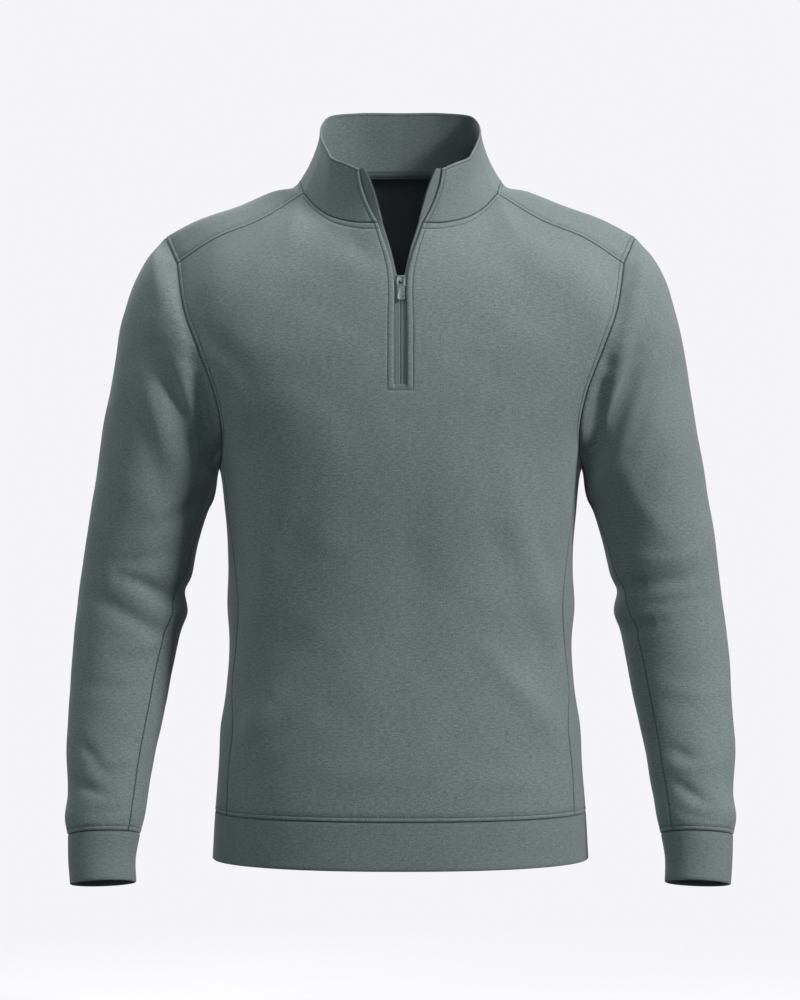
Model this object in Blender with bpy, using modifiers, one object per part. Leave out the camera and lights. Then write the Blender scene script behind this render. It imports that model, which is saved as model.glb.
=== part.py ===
"""Quarter-zip pullover with a stand collar, filled out as if worn.

Neck, hem, cuffs and armholes are open and the inside is hollow. Sizes are in millimetres, +Z is up
and the front faces -Y. The origin is the middle of the neck, level with the points where the
collar meets the shoulders. Each cut piece is a wall of cloth lofted through its own sections;
neighbouring pieces share the points of their seam and are parted there by a narrow gap.
"""

import math

import bmesh
import bpy
import numpy as np
from mathutils import Matrix, Vector

MM = 0.001
OTHER_SIDE = np.array([-1.0, 1.0, 1.0])

# Cloth thicknesses and the gap at a seam.
CLOTH = 2.0
BAND_CLOTH = 2.2
TAPE = 1.0
SEAM_GAP = 0.3

# Least cosine between a piece and its seam's shared normal that still thickens the wall there.
STEEPEST_SEAM = 0.45

# Squareness of the torso's rings: 1 is an ellipse, less is squarer.
RING_POWER = 0.9

# Quads along each stretch of a panel's grid.
COLUMNS = {"neck_front": 5, "neck_back": 6, "shoulder": 6, "side": 4}
ROWS_LOWER = 11
ROWS_CHEST = 3
ROWS_YOKE_FRONT = 7
ROWS_YOKE_BACK = 12
ROWS_SLEEVE = 28
ROWS_COLLAR = 5
ROWS_BAND = 2

# How often the points over the shoulder blades are eased sideways, and over how many rows below
# the top edge that fades.
EASING_ROUNDS = 5
ROWS_EASED_LESS = 6


def table(columns, *rows):
    """Rows of numbers under named columns, as one array for each name."""
    return {name: np.array(values, float) for name, values in zip(columns.split(), zip(*rows))}


# The torso's rings below the arms: height, half width, depth before and behind the middle
# plane, and the angle from the front at which the side panel's front seam lies.
TORSO = table(
    "level width front back seam",
    (-653, 190.5, 128, 122, 66.5),
    (-605, 187.0, 126, 117, 67.5),
    (-565, 184.5, 123, 112, 66.0),
    (-525, 178.5, 120, 107, 73.0),
    (-485, 176.0, 118, 104, 71.0),
    (-443, 178.5, 118, 104, 66.0),
    (-400, 177.0, 120, 108, 71.0),
    (-345, 180.5, 126, 115, 76.0),
    (-270, 187.0, 131, 122, 80.0),
)
HEM_SEAM = -653.0
HEM_EDGE = -701.5
HEM_FLARE = 0.015

# Places round the right armhole.
ARMHOLE = {
    "front_side": (181.5, -34, -287),
    "front_under": (181, -60, -262),
    "front_low": (187, -76, -228),
    "front_mid": (204, -82, -181),
    "front_high": (219, -70, -139),
    "shoulder": (227.5, -39, -93),
    "top": (242, 3, -63.5),
    "back_high": (231, 50, -95),
    "back_mid": (214, 80, -145),
    "back_low": (199, 90, -197),
    "back_under": (187, 72, -252),
    "back_side": (183, 34, -289),
}
UNDERARM_DIP = 12.0

# Rows of the chest and of the shoulder blades: the panel's middle, its armhole place and how far
# the row has turned by then.
CHEST_ROWS = (
    {"middle": (-130.0, -302), "edge": "front_side", "turn": 78},
    {"middle": (-131.0, -268), "edge": "front_under", "turn": 68},
    {"middle": (-129.5, -219), "edge": "front_low", "turn": 60},
    {"middle": (-122.5, -163), "edge": "front_mid", "turn": 54},
)
BLADE_ROWS = (
    {"middle": (120.0, -302), "edge": "back_side", "turn": 78},
    {"middle": (124.0, -262), "edge": "back_under", "turn": 68},
    {"middle": (124.0, -205), "edge": "back_low", "turn": 60},
    {"middle": (117.0, -145), "edge": "back_mid", "turn": 54},
)

# The neck seam from the zip to the shoulder seam, and from there to the middle of the back.
NECK_FRONT = table(
    "x y z",
    (23.2, -86, -55.2),
    (41.0, -79, -54.8),
    (55.0, -71, -52.2),
    (69.5, -60, -47.3),
    (84.5, -45, -37.0),
    (99.0, -27, -20.5),
)
NECK_BACK = table(
    "x y z",
    (99.0, -27, -20.5),
    (103.0, 2, -4.0),
    (96.0, 27, 3.5),
    (75.0, 47, 6.5),
    (45.0, 57, 7.5),
    (0.0, 60, 8.0),
)
SHOULDER_SEAM = table(
    "x y z",
    (99.0, -27, -20.5),
    (144.0, -44, -49.5),
    (187.0, -47, -67.5),
    (227.5, -39, -93.0),
)

# Rows just below the front's top edge and over the shoulder: how far each lies from the panel's
# top edge at shares of the neck seam, from the panel's middle to the shoulder seam.
FRONT_TOP_ROWS = (
    {"edge": "front_high", "offsets": table(
        "share x y z",
        (0.00, -15.2, -22, -50),
        (0.50, -4.0, -36, -46),
        (1.00, 14.0, -49, -50),
    )},
)
BACK_TOP_ROWS = (
    {"edge": "back_high", "offsets": table(
        "share x y z",
        (0.00, 0.0, 36, -64),
        (0.50, 4.0, 44, -56),
        (0.83, 9.5, 70, -43),
        (1.00, 31.0, 94, -25),
    )},
    {"edge": "top", "offsets": table(
        "share x y z",
        (0.00, 0.0, 12, -15.0),
        (0.50, 11.0, 17, -13.5),
        (0.83, 14.5, 24, -11.0),
        (1.00, 24.0, 30, 11.0),
    )},
)

# Half width between the folded edges of the zip opening, and of the gap between the zip tapes.
ZIP_OPENING = table(
    "level fold tape",
    (-219, 6.9, 0.20),
    (-170, 6.9, 0.20),
    (-124, 6.9, 0.20),
    (-119, 7.0, 0.75),
    (-107, 8.2, 3.9),
    (-82, 14.6, 9.4),
    (-57, 23.2, 17.2),
    (-28, 32.5, 26.2),
    (0, 42.5, 36.0),
)

# The collar's top edge from the zip to the middle of the back, by share of its length.
COLLAR_TOP = table(
    "share x y z",
    (0.00, 42.5, -75, 0),
    (0.11, 57.0, -62, 6),
    (0.22, 71.0, -45, 15),
    (0.34, 79.5, -20, 31),
    (0.46, 83.0, 5, 45),
    (0.58, 81.5, 27, 58),
    (0.69, 73.5, 45, 67.5),
    (0.81, 47.0, 55, 71.5),
    (1.00, 0.0, 58, 72),
)
COLLAR_FLARE = 1.7

# The right sleeve's rings: outer and inner point, middle and half depth front to back, and how
# much the front of the ring is raised for each millimetre of depth.
SLEEVE = table(
    "out_x out_z in_x in_z middle depth tilt",
    (256.0, -79, 188.5, -311, 2, 84, 0.00),
    (272.5, -106, 190.0, -322, 4, 80, 0.00),
    (284.5, -142, 193.0, -333, 5, 77, 0.00),
    (294.0, -190, 198.5, -344, 5, 74, 0.00),
    (302.5, -240, 203.5, -359, 6, 71, 0.00),
    (310.5, -288, 208.5, -378, 6, 68, 0.00),
    (319.3, -340, 212.5, -400, 6, 64, 0.00),
    (327.0, -396, 218.0, -428, 5, 60, 0.02),
    (332.8, -445, 224.0, -456, 2, 56, 0.06),
    (337.0, -500, 232.5, -500, -6, 51, 0.12),
    (340.0, -550, 241.5, -548, -18, 47, 0.18),
    (341.0, -597, 251.0, -597, -33, 43, 0.21),
    (338.5, -633, 257.0, -632, -44, 40, 0.22),
    (340.0, -658, 260.0, -656, -52, 38, 0.22),
    (336.5, -673, 263.5, -671, -56, 34.5, 0.22),
)
CUFF = table(
    "out_x out_z in_x in_z middle depth tilt",
    (335.5, -698, 267.5, -696, -61, 33, 0.22),
    (333.3, -722, 266.5, -719, -66, 32.5, 0.22),
)

# The largest folds: the side of the piece each is seen from, its two ends and the point it bends
# towards across that side, its half breadth and its height (a trough is below zero).
BODY_FOLDS = (
    ("front", (-118, -340), (-136, -420), (-161, -474), 17, 4.5),
    ("front", (-128, -530), (-140, -555), (-163, -573), 14, 4.5),
    ("front", (104, -310), (124, -400), (166, -486), 17, 4.5),
    ("front", (90, -490), (128, -530), (164, -577), 16, 4.5),
    ("front", (10, -340), (16, -410), (10, -480), 24, -2.5),
    ("front", (-206, -165), (-186, -176), (-165, -200), 13, -2.5),
    ("front", (204, -168), (188, -180), (168, -206), 13, -2.0),
    ("front", (-52, -70), (-42, -78), (-32, -92), 10, -2.5),
    ("back", (-112, -330), (-134, -410), (-160, -470), 18, 4.5),
    ("back", (108, -316), (130, -405), (158, -480), 18, 4.5),
    ("back", (-60, -470), (0, -492), (66, -468), 15, -3.5),
    ("back", (-96, -525), (-130, -555), (-158, -580), 15, 4.0),
    ("back", (86, -520), (120, -552), (156, -572), 15, 4.0),
    ("back", (-188, -150), (-170, -190), (-140, -236), 14, -3.0),
    ("back", (188, -156), (168, -196), (142, -230), 14, -3.0),
)
LEFT_SLEEVE_FOLDS = (
    ("front", (-248, -155), (-224, -225), (-194, -280), 13, 5.0),
    ("front", (-252, -180), (-240, -210), (-222, -248), 9, -4.0),
    ("front", (-263, -210), (-250, -245), (-232, -284), 12, 3.5),
    ("front", (-284, -410), (-246, -424), (-219, -446), 8, -4.5),
    ("front", (-310, -432), (-276, -450), (-233, -476), 9, -3.5),
    ("front", (-323, -578), (-312, -590), (-296, -608), 7, -2.5),
    ("front", (-332, -618), (-318, -621), (-300, -628), 6, -3.0),
    ("back", (-250, -160), (-226, -222), (-200, -284), 13, 4.5),
    ("back", (-262, -196), (-246, -246), (-224, -300), 10, -3.5),
    ("back", (-318, -420), (-280, -438), (-240, -430), 10, -3.0),
    ("back", (-330, -600), (-306, -612), (-276, -606), 8, -2.5),
)
RIGHT_SLEEVE_FOLDS = (
    ("front", (252, -174), (222, -226), (188, -290), 10, -5.0),
    ("front", (238, -160), (208, -214), (190, -262), 11, 3.0),
    ("front", (254, -212), (244, -250), (232, -288), 11, -3.0),
    ("front", (246, -420), (270, -417), (295, -411), 9, -3.5),
    ("front", (226, -468), (246, -462), (262, -456), 8, -3.0),
    ("front", (274, -585), (284, -590), (296, -595), 7, -2.5),
    ("front", (277, -618), (290, -626), (308, -639), 6, -3.0),
    ("back", (248, -164), (228, -230), (202, -288), 12, -4.0),
    ("back", (264, -200), (250, -250), (226, -296), 12, 3.5),
    ("back", (314, -416), (276, -436), (238, -428), 10, -3.0),
    ("back", (326, -604), (304, -614), (274, -608), 8, -2.5),
)
INNER_ELBOW_FOLDS = (
    ("inner", (-46, -424), (0, -426), (46, -432), 11, -5.0),
    ("inner", (-40, -450), (0, -449), (40, -454), 11, 2.5),
)
FACINGS = {"front": (0, -1, 0), "back": (0, 1, 0)}

# Zip slider and pull tab, in a frame of their own that leans with the chest.
SLIDER_ACROSS = 0.4
SLIDER_LEVEL = -115.0
PLATE = {"width": 8.4, "height": 11.4, "thickness": 1.4, "corner": 2.2}
PLATE_CLEARANCE = 0.3
POST = {"width": 2.0, "height": 2.2, "up": 4.2}
BRIDGE = {"width": 2.0, "height": 5.6, "reach": 3.5, "bar": 1.1, "up": 0.2}
PULL = {"width": 6.8, "length": 22.0, "thickness": 1.3, "corner": 1.6, "hinge_below_end": 0.7}
PULL_WINDOW = {"width": 3.4, "height": 3.6, "corner": 0.5}
PULL_OUT = 2.95

# Back neck tape, and how far the zip tapes lie behind, under and below the slit's edges.
NECK_TAPE = {"height": 9.5, "columns_short": 2, "clearance": 1.8}
TAPE_DEPTH = BAND_CLOTH + 0.8
TAPE_UNDER = 4.0
TAPE_END = 4.0

COLOURS = {
    "body": (0.128, 0.163, 0.163),
    "sleeve": (0.122, 0.156, 0.157),
    "band": (0.110, 0.142, 0.146),
    "tape": (0.100, 0.132, 0.134),
    "metal": (0.30, 0.31, 0.31),
}


# ---------------------------------------------------------------- curves and sections

def spline(knots, values, places):
    """Smooth curve through the values at the knots, read at the places."""
    knots = np.asarray(knots, float)
    values = np.asarray(values, float)
    spread = (-1,) + (1,) * (values.ndim - 1)
    steps = np.diff(knots).reshape(spread)
    slopes = np.diff(values, axis=0) / steps
    tangents = np.empty_like(values)
    tangents[0] = slopes[0]
    tangents[-1] = slopes[-1]
    tangents[1:-1] = (steps[1:] * slopes[:-1] + steps[:-1] * slopes[1:]) / (steps[1:] + steps[:-1])
    places = np.atleast_1d(np.asarray(places, float))
    span = np.clip(np.searchsorted(knots, places, side="right") - 1, 0, len(knots) - 2)
    step = steps[span]
    t = (places - knots[span]).reshape(spread) / step
    start = (1 + 2 * t) * (1 - t) ** 2 * values[span] + t * (1 - t) ** 2 * step * tangents[span]
    end = t * t * (3 - 2 * t) * values[span + 1] + t * t * (t - 1) * step * tangents[span + 1]
    return start + end


def points_of(columns):
    """The x, y, z columns of a table as an array of points."""
    return np.stack([columns["x"], columns["y"], columns["z"]], axis=1)


def lengths_along(points):
    """Length from the first point to each point of a polyline."""
    return np.concatenate([[0.0], np.cumsum(np.linalg.norm(np.diff(points, axis=0), axis=1))])


def even_points(points, count):
    """Points on the smooth curve through some points, evenly spaced into so many stretches."""
    knots = lengths_along(points)
    fine = spline(knots, points, np.linspace(0, knots[-1], 20 * count))
    reached = lengths_along(fine)
    places = np.interp(np.linspace(0, reached[-1], count + 1), reached, np.linspace(0, knots[-1], len(fine)))
    return spline(knots, points, places)


def loft(sections, counts):
    """Rows through the sections; counts has (section index, rows from the last one to it)."""
    sections = np.asarray(sections, float)
    gaps = np.linalg.norm(np.diff(sections, axis=0), axis=2).mean(axis=1)
    knots = np.concatenate([[0.0], np.cumsum(gaps)])
    places = [knots[0]]
    last = 0
    for index, count in counts:
        places.extend(np.linspace(knots[last], knots[index], count + 1)[1:])
        last = index
    return spline(knots, sections, places)


def torso_at(level):
    """Half width, front depth, back depth and seam angle of the torso's ring at a height."""
    rings = np.stack([TORSO[name] for name in ("width", "front", "back", "seam")], axis=1)
    return spline(TORSO["level"], rings, level)[0]


def opening_at(name, level):
    """Half width of the zip opening at a height, between its folded edges or its tapes."""
    return np.interp(level, ZIP_OPENING["level"], ZIP_OPENING[name])


def arc_row(middle, edge, turn, inner, shares):
    """Half of one level row: from x = inner near the middle, round to the edge.

    middle is (y, z) at x = 0, turn is the angle in radians through which the row has turned
    at the edge, and shares are the places along it from 0 to 1.
    """
    edge_x, edge_y, edge_z = edge
    start = math.asin((inner / edge_x) ** (1 / RING_POWER) * math.sin(turn)) / turn
    part = start + (1 - start) * np.asarray(shares)
    angle = part * turn
    x = edge_x * (np.sin(angle) / math.sin(turn)) ** RING_POWER
    fall = (1 - np.cos(angle) ** RING_POWER) / (1 - math.cos(turn) ** RING_POWER)
    y = middle[0] + (edge_y - middle[0]) * fall
    z = middle[1] + (edge_z - middle[1]) * part ** 2
    return np.stack([x, y, z], axis=1)


def ring_row(level, side, inner, shares):
    """Half of a torso ring, on the front (side -1) or the back (side 1), to the side seam."""
    width, front, back, seam = torso_at(level)
    turn = math.radians(seam)
    depth = front if side < 0 else back
    edge = (width * math.sin(turn) ** RING_POWER, side * depth * math.cos(turn) ** RING_POWER, level)
    return arc_row((side * depth, level), edge, turn, inner, shares)


def neck_seam_half():
    """The right half of the neck seam, from the zip to the middle of the back."""
    front = even_points(points_of(NECK_FRONT), COLUMNS["neck_front"])
    back = even_points(points_of(NECK_BACK), COLUMNS["neck_back"])
    return np.concatenate([front, back[1:]])


def top_edge(neck_points):
    """A panel's top edge: its part of the neck seam up to the shoulder, then the shoulder seam."""
    shoulder_points = even_points(points_of(SHOULDER_SEAM), COLUMNS["shoulder"])
    return np.concatenate([neck_points, shoulder_points[1:]])


def shoulder_row(top, neck_count, row):
    """A row near a panel's top edge, set off from it by the row's own amounts."""
    offsets = row["offsets"]
    by_neck = spline(offsets["share"], points_of(offsets), np.linspace(0, 1, neck_count + 1))
    corner = by_neck[-1]
    at_armhole = np.array(ARMHOLE[row["edge"]], float) - top[-1]
    shares = np.linspace(0, 1, len(top) - neck_count)[1:, None]
    return top + np.concatenate([by_neck, corner + (at_armhole - corner) * shares])


# ---------------------------------------------------------------- the cut pieces

class Piece:
    """One cut piece: a grid of outer points, rows upwards or along, columns turning outwards."""

    def __init__(self, name, grid, closed=False, missing=(), wall=CLOTH, colour="body"):
        self.name = name
        self.grid = np.array(grid, float)
        self.closed = closed
        self.missing = set(missing)
        self.wall = wall
        self.colour = colour

    def quads(self):
        """Corner indices (row, column) of each quad, turning to face outwards."""
        rows, columns = self.grid.shape[:2]
        across = columns if self.closed else columns - 1
        for row in range(rows - 1):
            for column in range(across):
                if (row, column) not in self.missing:
                    after = (column + 1) % columns
                    yield (row, column), (row, after), (row + 1, after), (row + 1, column)


def mirrored(grid):
    """A grid on the other side of the middle plane, still facing outwards."""
    return grid[:, ::-1] * OTHER_SIDE


def front_half():
    """Right half of the front, from the zip's folded edge to the side seam and armhole."""
    neck = COLUMNS["neck_front"]
    count = neck + COLUMNS["shoulder"]
    shares = np.linspace(0, 1, count + 1)
    slit_end = opening_at("fold", CHEST_ROWS[2]["middle"][1])
    sections = [ring_row(level, -1, slit_end, shares) for level in TORSO["level"][:-1]]
    for row in CHEST_ROWS:
        inner = opening_at("fold", row["middle"][1])
        edge = ARMHOLE[row["edge"]]
        sections.append(arc_row(row["middle"], edge, math.radians(row["turn"]), inner, shares))
    top = top_edge(neck_seam_half()[:neck + 1])
    sections.extend(shoulder_row(top, neck, row) for row in FRONT_TOP_ROWS)
    sections.append(top)
    armpit = len(TORSO["level"]) - 1
    slit = armpit + 2
    counts = ((armpit, ROWS_LOWER), (slit, ROWS_CHEST), (len(sections) - 1, ROWS_YOKE_FRONT))
    return loft(sections, counts)


def back_half():
    """Right half of the back, from its middle to the side seam, armhole and shoulder seam."""
    neck = COLUMNS["neck_back"]
    count = neck + COLUMNS["shoulder"]
    shares = np.linspace(0, 1, count + 1)
    sections = [ring_row(level, 1, 0.0, shares) for level in TORSO["level"][:-1]]
    for row in BLADE_ROWS:
        edge = ARMHOLE[row["edge"]]
        sections.append(arc_row(row["middle"], edge, math.radians(row["turn"]), 0.0, shares))
    top = top_edge(neck_seam_half()[COLUMNS["neck_front"]:][::-1])
    sections.extend(shoulder_row(top, neck, row) for row in BACK_TOP_ROWS)
    sections.append(top)
    armpit = len(TORSO["level"]) - 1
    counts = ((armpit, ROWS_LOWER), (len(sections) - 1, ROWS_YOKE_BACK))
    return loft(sections, counts)


def eased(grid, first_row, rounds):
    """A grid whose rows from the first one up are eased sideways, less and less near its top edge."""
    grid = grid.copy()
    last = len(grid) - 1
    below_top = last - np.arange(first_row, last)
    ease = np.clip(below_top / ROWS_EASED_LESS, 0, 1)[:, None, None] / 2
    for _ in range(rounds):
        inner = grid[first_row:last, 1:-1]
        mean = (grid[first_row:last, :-2] + grid[first_row:last, 2:]) / 2
        grid[first_row:last, 1:-1] = inner + (mean - inner) * ease
    return grid


def ring_width(level, y):
    """Half width of the torso's ring at a height and a depth."""
    width, front, back, _ = torso_at(level)
    depth = front if y < 0 else back
    return width * (1 - min(abs(y) / depth, 1) ** (2 / RING_POWER)) ** (RING_POWER / 2)


def side_panel(front_edge, back_edge):
    """Right side panel between the front's and the back's side seams, from hem to armhole."""
    shares = np.linspace(0, 1, COLUMNS["side"] + 1)
    grid = []
    for front, back in zip(front_edge, back_edge):
        rise = (front[2] - HEM_SEAM) / (front_edge[-1][2] - HEM_SEAM)
        dip = UNDERARM_DIP * rise ** 12
        off_front = front[0] - ring_width(front[2], front[1])
        off_back = back[0] - ring_width(back[2], back[1])
        row = []
        for share in shares:
            y = front[1] + (back[1] - front[1]) * share
            level = front[2] + (back[2] - front[2]) * share
            x = ring_width(level, y) + off_front + (off_back - off_front) * share
            row.append((x, y, level - dip * (1 - (2 * share - 1) ** 2)))
        grid.append(row)
    grid = np.array(grid)
    grid[:, 0] = front_edge
    grid[:, -1] = back_edge
    return grid


def armhole_loop(front, side, back):
    """The right armhole's points: down the front, back under the arm, up and over the top."""
    down = front[ROWS_LOWER:, -1][::-1]
    under = side[-1]
    up = back[ROWS_LOWER:, -1]
    return np.concatenate([down[:-1], under[:-1], up[:-1]])


def sleeve_angles(loop):
    """Angle of each armhole point round the sleeve, from the outer side towards the front."""
    top = np.array(ARMHOLE["top"], float)
    under = loop[np.argmin(loop[:, 2])]
    middle = (top + under) / 2
    outwards = (top - under) / 2
    along = (loop - middle) @ outwards / (outwards @ outwards)
    depth = np.abs(loop[:, 1]).max()
    return np.arctan2(-loop[:, 1] / depth, along)


def sleeve_rings(rings, angles):
    """Rings of a sleeve or cuff, each with a point at every angle."""
    sections = []
    for out_x, out_z, in_x, in_z, middle, depth, tilt in zip(*rings.values()):
        outer = np.array([out_x, middle, out_z])
        inner = np.array([in_x, middle, in_z])
        forward = np.array([0.0, -1.0, tilt]) * depth / math.hypot(1, tilt)
        centre = (outer + inner) / 2
        reach = (outer - inner) / 2
        sections.append(centre + np.outer(np.cos(angles), reach) + np.outer(np.sin(angles), forward))
    return sections


def torso_pieces():
    """Front, back, side panels and hem band, and the right armhole's loop."""
    half = front_half()
    back = back_half()
    side = side_panel(half[:ROWS_LOWER + 1, -1], back[:ROWS_LOWER + 1, -1])
    front_grid = np.concatenate([mirrored(half), half], axis=1)
    slit_column = half.shape[1] - 1
    slit_row = ROWS_LOWER + ROWS_CHEST
    slit = [(row, slit_column) for row in range(slit_row, half.shape[0] - 1)]
    back_grid = np.concatenate([back[:, ::-1], (back * OTHER_SIDE)[:, 1:]], axis=1)
    back_grid = eased(back_grid, ROWS_LOWER + 1, EASING_ROUNDS)
    pieces = [
        Piece("front_panel", front_grid, missing=slit),
        Piece("back_panel", back_grid),
        Piece("side_panel_right", side),
        Piece("side_panel_left", mirrored(side)),
    ]
    seam = np.concatenate([front_grid[0, :-1], side[0, :-1], back_grid[0, :-1], mirrored(side)[0, :-1]])
    pieces.append(Piece("hem_band", hem_rows(seam), closed=True, wall=BAND_CLOTH, colour="band"))
    return pieces, armhole_loop(half, side, back)


def hem_rows(seam):
    """The hem band from its free edge up to the hem seam."""
    rows = []
    for share in np.linspace(1, 0, ROWS_BAND + 1):
        grow = 1 + HEM_FLARE * share
        level = HEM_SEAM + (HEM_EDGE - HEM_SEAM) * share
        row = seam * np.array([grow, grow, 0.0])
        row[:, 2] = level
        rows.append(row)
    return np.array(rows)


def sleeve_pieces(loop):
    """Both sleeves and cuffs from the right armhole's loop."""
    angles = sleeve_angles(loop)
    sections = [loop] + sleeve_rings(SLEEVE, angles)
    sleeve = loft(sections, ((len(sections) - 1, ROWS_SLEEVE),))
    cuff = loft([sleeve[-1]] + sleeve_rings(CUFF, angles), ((len(CUFF["tilt"]), ROWS_BAND),))
    return [
        Piece("sleeve_right", sleeve, closed=True, colour="sleeve"),
        Piece("sleeve_left", mirrored(sleeve), closed=True, colour="sleeve"),
        Piece("cuff_right", cuff, closed=True, wall=BAND_CLOTH, colour="band"),
        Piece("cuff_left", mirrored(cuff), closed=True, wall=BAND_CLOTH, colour="band"),
    ]


def collar_piece():
    """The stand collar, from the right edge of the zip round the back to the left one."""
    seam = neck_seam_half()
    along = lengths_along(seam)
    top = spline(COLLAR_TOP["share"], points_of(COLLAR_TOP), along / along[-1])
    rows = []
    for rise in np.linspace(0, 1, ROWS_COLLAR + 1):
        inwards = 1 - (1 - rise) ** COLLAR_FLARE
        blend = np.array([inwards, inwards, rise])
        rows.append(seam + (top - seam) * blend)
    half = np.array(rows)
    grid = np.concatenate([half, mirrored(half)[:, 1:]], axis=1)
    return Piece("collar", grid, wall=BAND_CLOTH, colour="band")


# ---------------------------------------------------------------- folds and shared normals

def face_normals(piece):
    """Sum of the neighbouring faces' normals at each point of a piece, weighted by area."""
    total = np.zeros_like(piece.grid)
    for corners in piece.quads():
        a, b, c, d = (piece.grid[corner] for corner in corners)
        normal = np.cross(c - a, d - b)
        for corner in corners:
            total[corner] += normal
    return total


def key_of(point):
    """A point rounded so that the same seam point in two pieces gives the same key."""
    return tuple(np.round(point, 4))


def seam_normal(normals):
    """One normal for all the pieces at a point: pieces that run on smoothly count once."""
    directions = []
    for normal in normals:
        for index, other in enumerate(directions):
            if normal @ other > 0.8 * np.linalg.norm(other):
                directions[index] = other + normal
                break
        else:
            directions.append(normal)
    total = sum(direction / np.linalg.norm(direction) for direction in directions)
    return total / np.linalg.norm(total)


def shared_normals(pieces):
    """For each piece, unit normals at its points: shared along its seams, and its own."""
    meeting = {}
    own = []
    for piece in pieces:
        alone = face_normals(piece)
        alone /= np.linalg.norm(alone, axis=2, keepdims=True)
        own.append(alone)
        for point, normal in zip(piece.grid.reshape(-1, 3), alone.reshape(-1, 3)):
            meeting.setdefault(key_of(point), []).append(normal)
    common = {key: seam_normal(normals) for key, normals in meeting.items()}
    result = []
    for piece, alone in zip(pieces, own):
        shared = np.array([common[key_of(point)] for point in piece.grid.reshape(-1, 3)])
        result.append((shared.reshape(piece.grid.shape), alone))
    return result


def bend_line(start, bend, end, count=33):
    """Points on the curve from start to end that leans towards the point between them."""
    t = np.linspace(0, 1, count)[:, None]
    return (1 - t) ** 2 * np.array(start) + 2 * t * (1 - t) * np.array(bend) + t ** 2 * np.array(end)


def fold_height(points, normals, folds, side):
    """Height of all folds at the points; side is -1 on the left of the middle and 1 on the right."""
    height = np.zeros(points.shape[:-1])
    for facing, start, bend, end, breadth, rise in folds:
        inner = facing == "inner"
        direction = np.array((-side, 0, 0) if inner else FACINGS[facing], float)
        flat = points[..., (1, 2)] if inner else points[..., (0, 2)]
        turned = np.clip((normals @ direction - 0.1) / 0.5, 0, 1)
        line = bend_line(start, bend, end)
        away = np.linalg.norm(flat[..., None, :] - line, axis=-1)
        nearest = away.argmin(axis=-1) / (len(line) - 1)
        fade = np.sin(np.pi * np.clip(nearest, 0.08, 0.92)) ** 0.5
        height += rise * np.exp(-(away.min(axis=-1) / breadth) ** 2) * fade * turned
    return height


def folds_of(name):
    """The folds that touch a piece, and the side of the body it is on."""
    if name.endswith("_left") and "side" not in name:
        return LEFT_SLEEVE_FOLDS + INNER_ELBOW_FOLDS, -1
    if name.endswith("_right") and "side" not in name:
        return RIGHT_SLEEVE_FOLDS + INNER_ELBOW_FOLDS, 1
    return BODY_FOLDS, 1


def raise_folds(pieces):
    """Move each piece's points out or in by its folds, fading to nothing at its seams."""
    normals = shared_normals(pieces)
    for piece, (shared, _) in zip(pieces, normals):
        folds, side = folds_of(piece.name)
        height = fold_height(piece.grid, shared, folds, side)
        rows, columns = piece.grid.shape[:2]
        from_end = np.minimum(np.arange(rows), np.arange(rows)[::-1])
        fade = np.clip(from_end / 2, 0, 1)[:, None]
        if not piece.closed:
            from_side = np.minimum(np.arange(columns), np.arange(columns)[::-1])
            fade = fade * np.clip(from_side / 2, 0, 1)[None, :]
        piece.grid += shared * (height * fade)[..., None]


# ---------------------------------------------------------------- walls

def edge_step(points, inside, normals, closed):
    """Steps of half the seam gap into a piece, square to its edge and to the shared normals."""
    if closed:
        along = np.roll(points, -1, axis=0) - np.roll(points, 1, axis=0)
    else:
        along = np.gradient(points, axis=0)
    way = np.cross(along, normals)
    way /= np.linalg.norm(way, axis=1, keepdims=True)
    facing = np.sign(((inside - points) * way).sum(axis=1, keepdims=True))
    return way * facing * SEAM_GAP / 2


def steps_from_edges(piece, normals):
    """At each edge point of a piece, the step that opens the seam gap."""
    grid = piece.grid
    step = np.zeros_like(grid)
    for edge, inside in ((0, 1), (-1, -2)):
        step[edge] += edge_step(grid[edge], grid[inside], normals[edge], piece.closed)
        if not piece.closed:
            step[:, edge] += edge_step(grid[:, edge], grid[:, inside], normals[:, edge], False)
    return step


def rim_faces(piece, start, end, outside, inside):
    """Two triangles across the rim at an open edge, split the same way in both pieces of a seam."""
    if key_of(piece.grid[start]) < key_of(piece.grid[end]):
        return [[outside(end), outside(start), inside(end)], [outside(start), inside(start), inside(end)]]
    return [[outside(end), outside(start), inside(start)], [outside(end), inside(start), inside(end)]]


def wall_mesh(piece, outer, inner):
    """A closed wall between an outer and an inner grid, with a rim along every open edge."""
    rows, columns = outer.shape[:2]

    def outside(corner):
        return corner[0] * columns + corner[1]

    def inside(corner):
        return rows * columns + outside(corner)

    faces = []
    edges = set()
    for corners in piece.quads():
        faces.append([outside(corner) for corner in corners])
        faces.append([inside(corner) for corner in reversed(corners)])
        edges.update(zip(corners, corners[1:] + corners[:1]))
    for start, end in sorted(edges):
        if (end, start) not in edges:
            faces.extend(rim_faces(piece, start, end, outside, inside))
    points = np.concatenate([outer.reshape(-1, 3), inner.reshape(-1, 3)]) * MM
    mesh = bpy.data.meshes.new(piece.name)
    mesh.from_pydata(points.tolist(), [], faces)
    mesh.update()
    mesh.shade_smooth()
    mesh.set_sharp_from_angle(angle=math.radians(50))
    return mesh


def add_wall(piece, shared, alone, collection):
    """Build a piece as a wall whose inside is moved in along the shared normals."""
    slant = np.clip((shared * alone).sum(axis=2, keepdims=True), STEEPEST_SEAM, 1)
    outer = piece.grid + steps_from_edges(piece, shared)
    inner = outer - shared * piece.wall / slant
    mesh = wall_mesh(piece, outer, inner)
    return add_object(piece.name, mesh, piece.colour, collection)


# ---------------------------------------------------------------- zip

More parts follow.
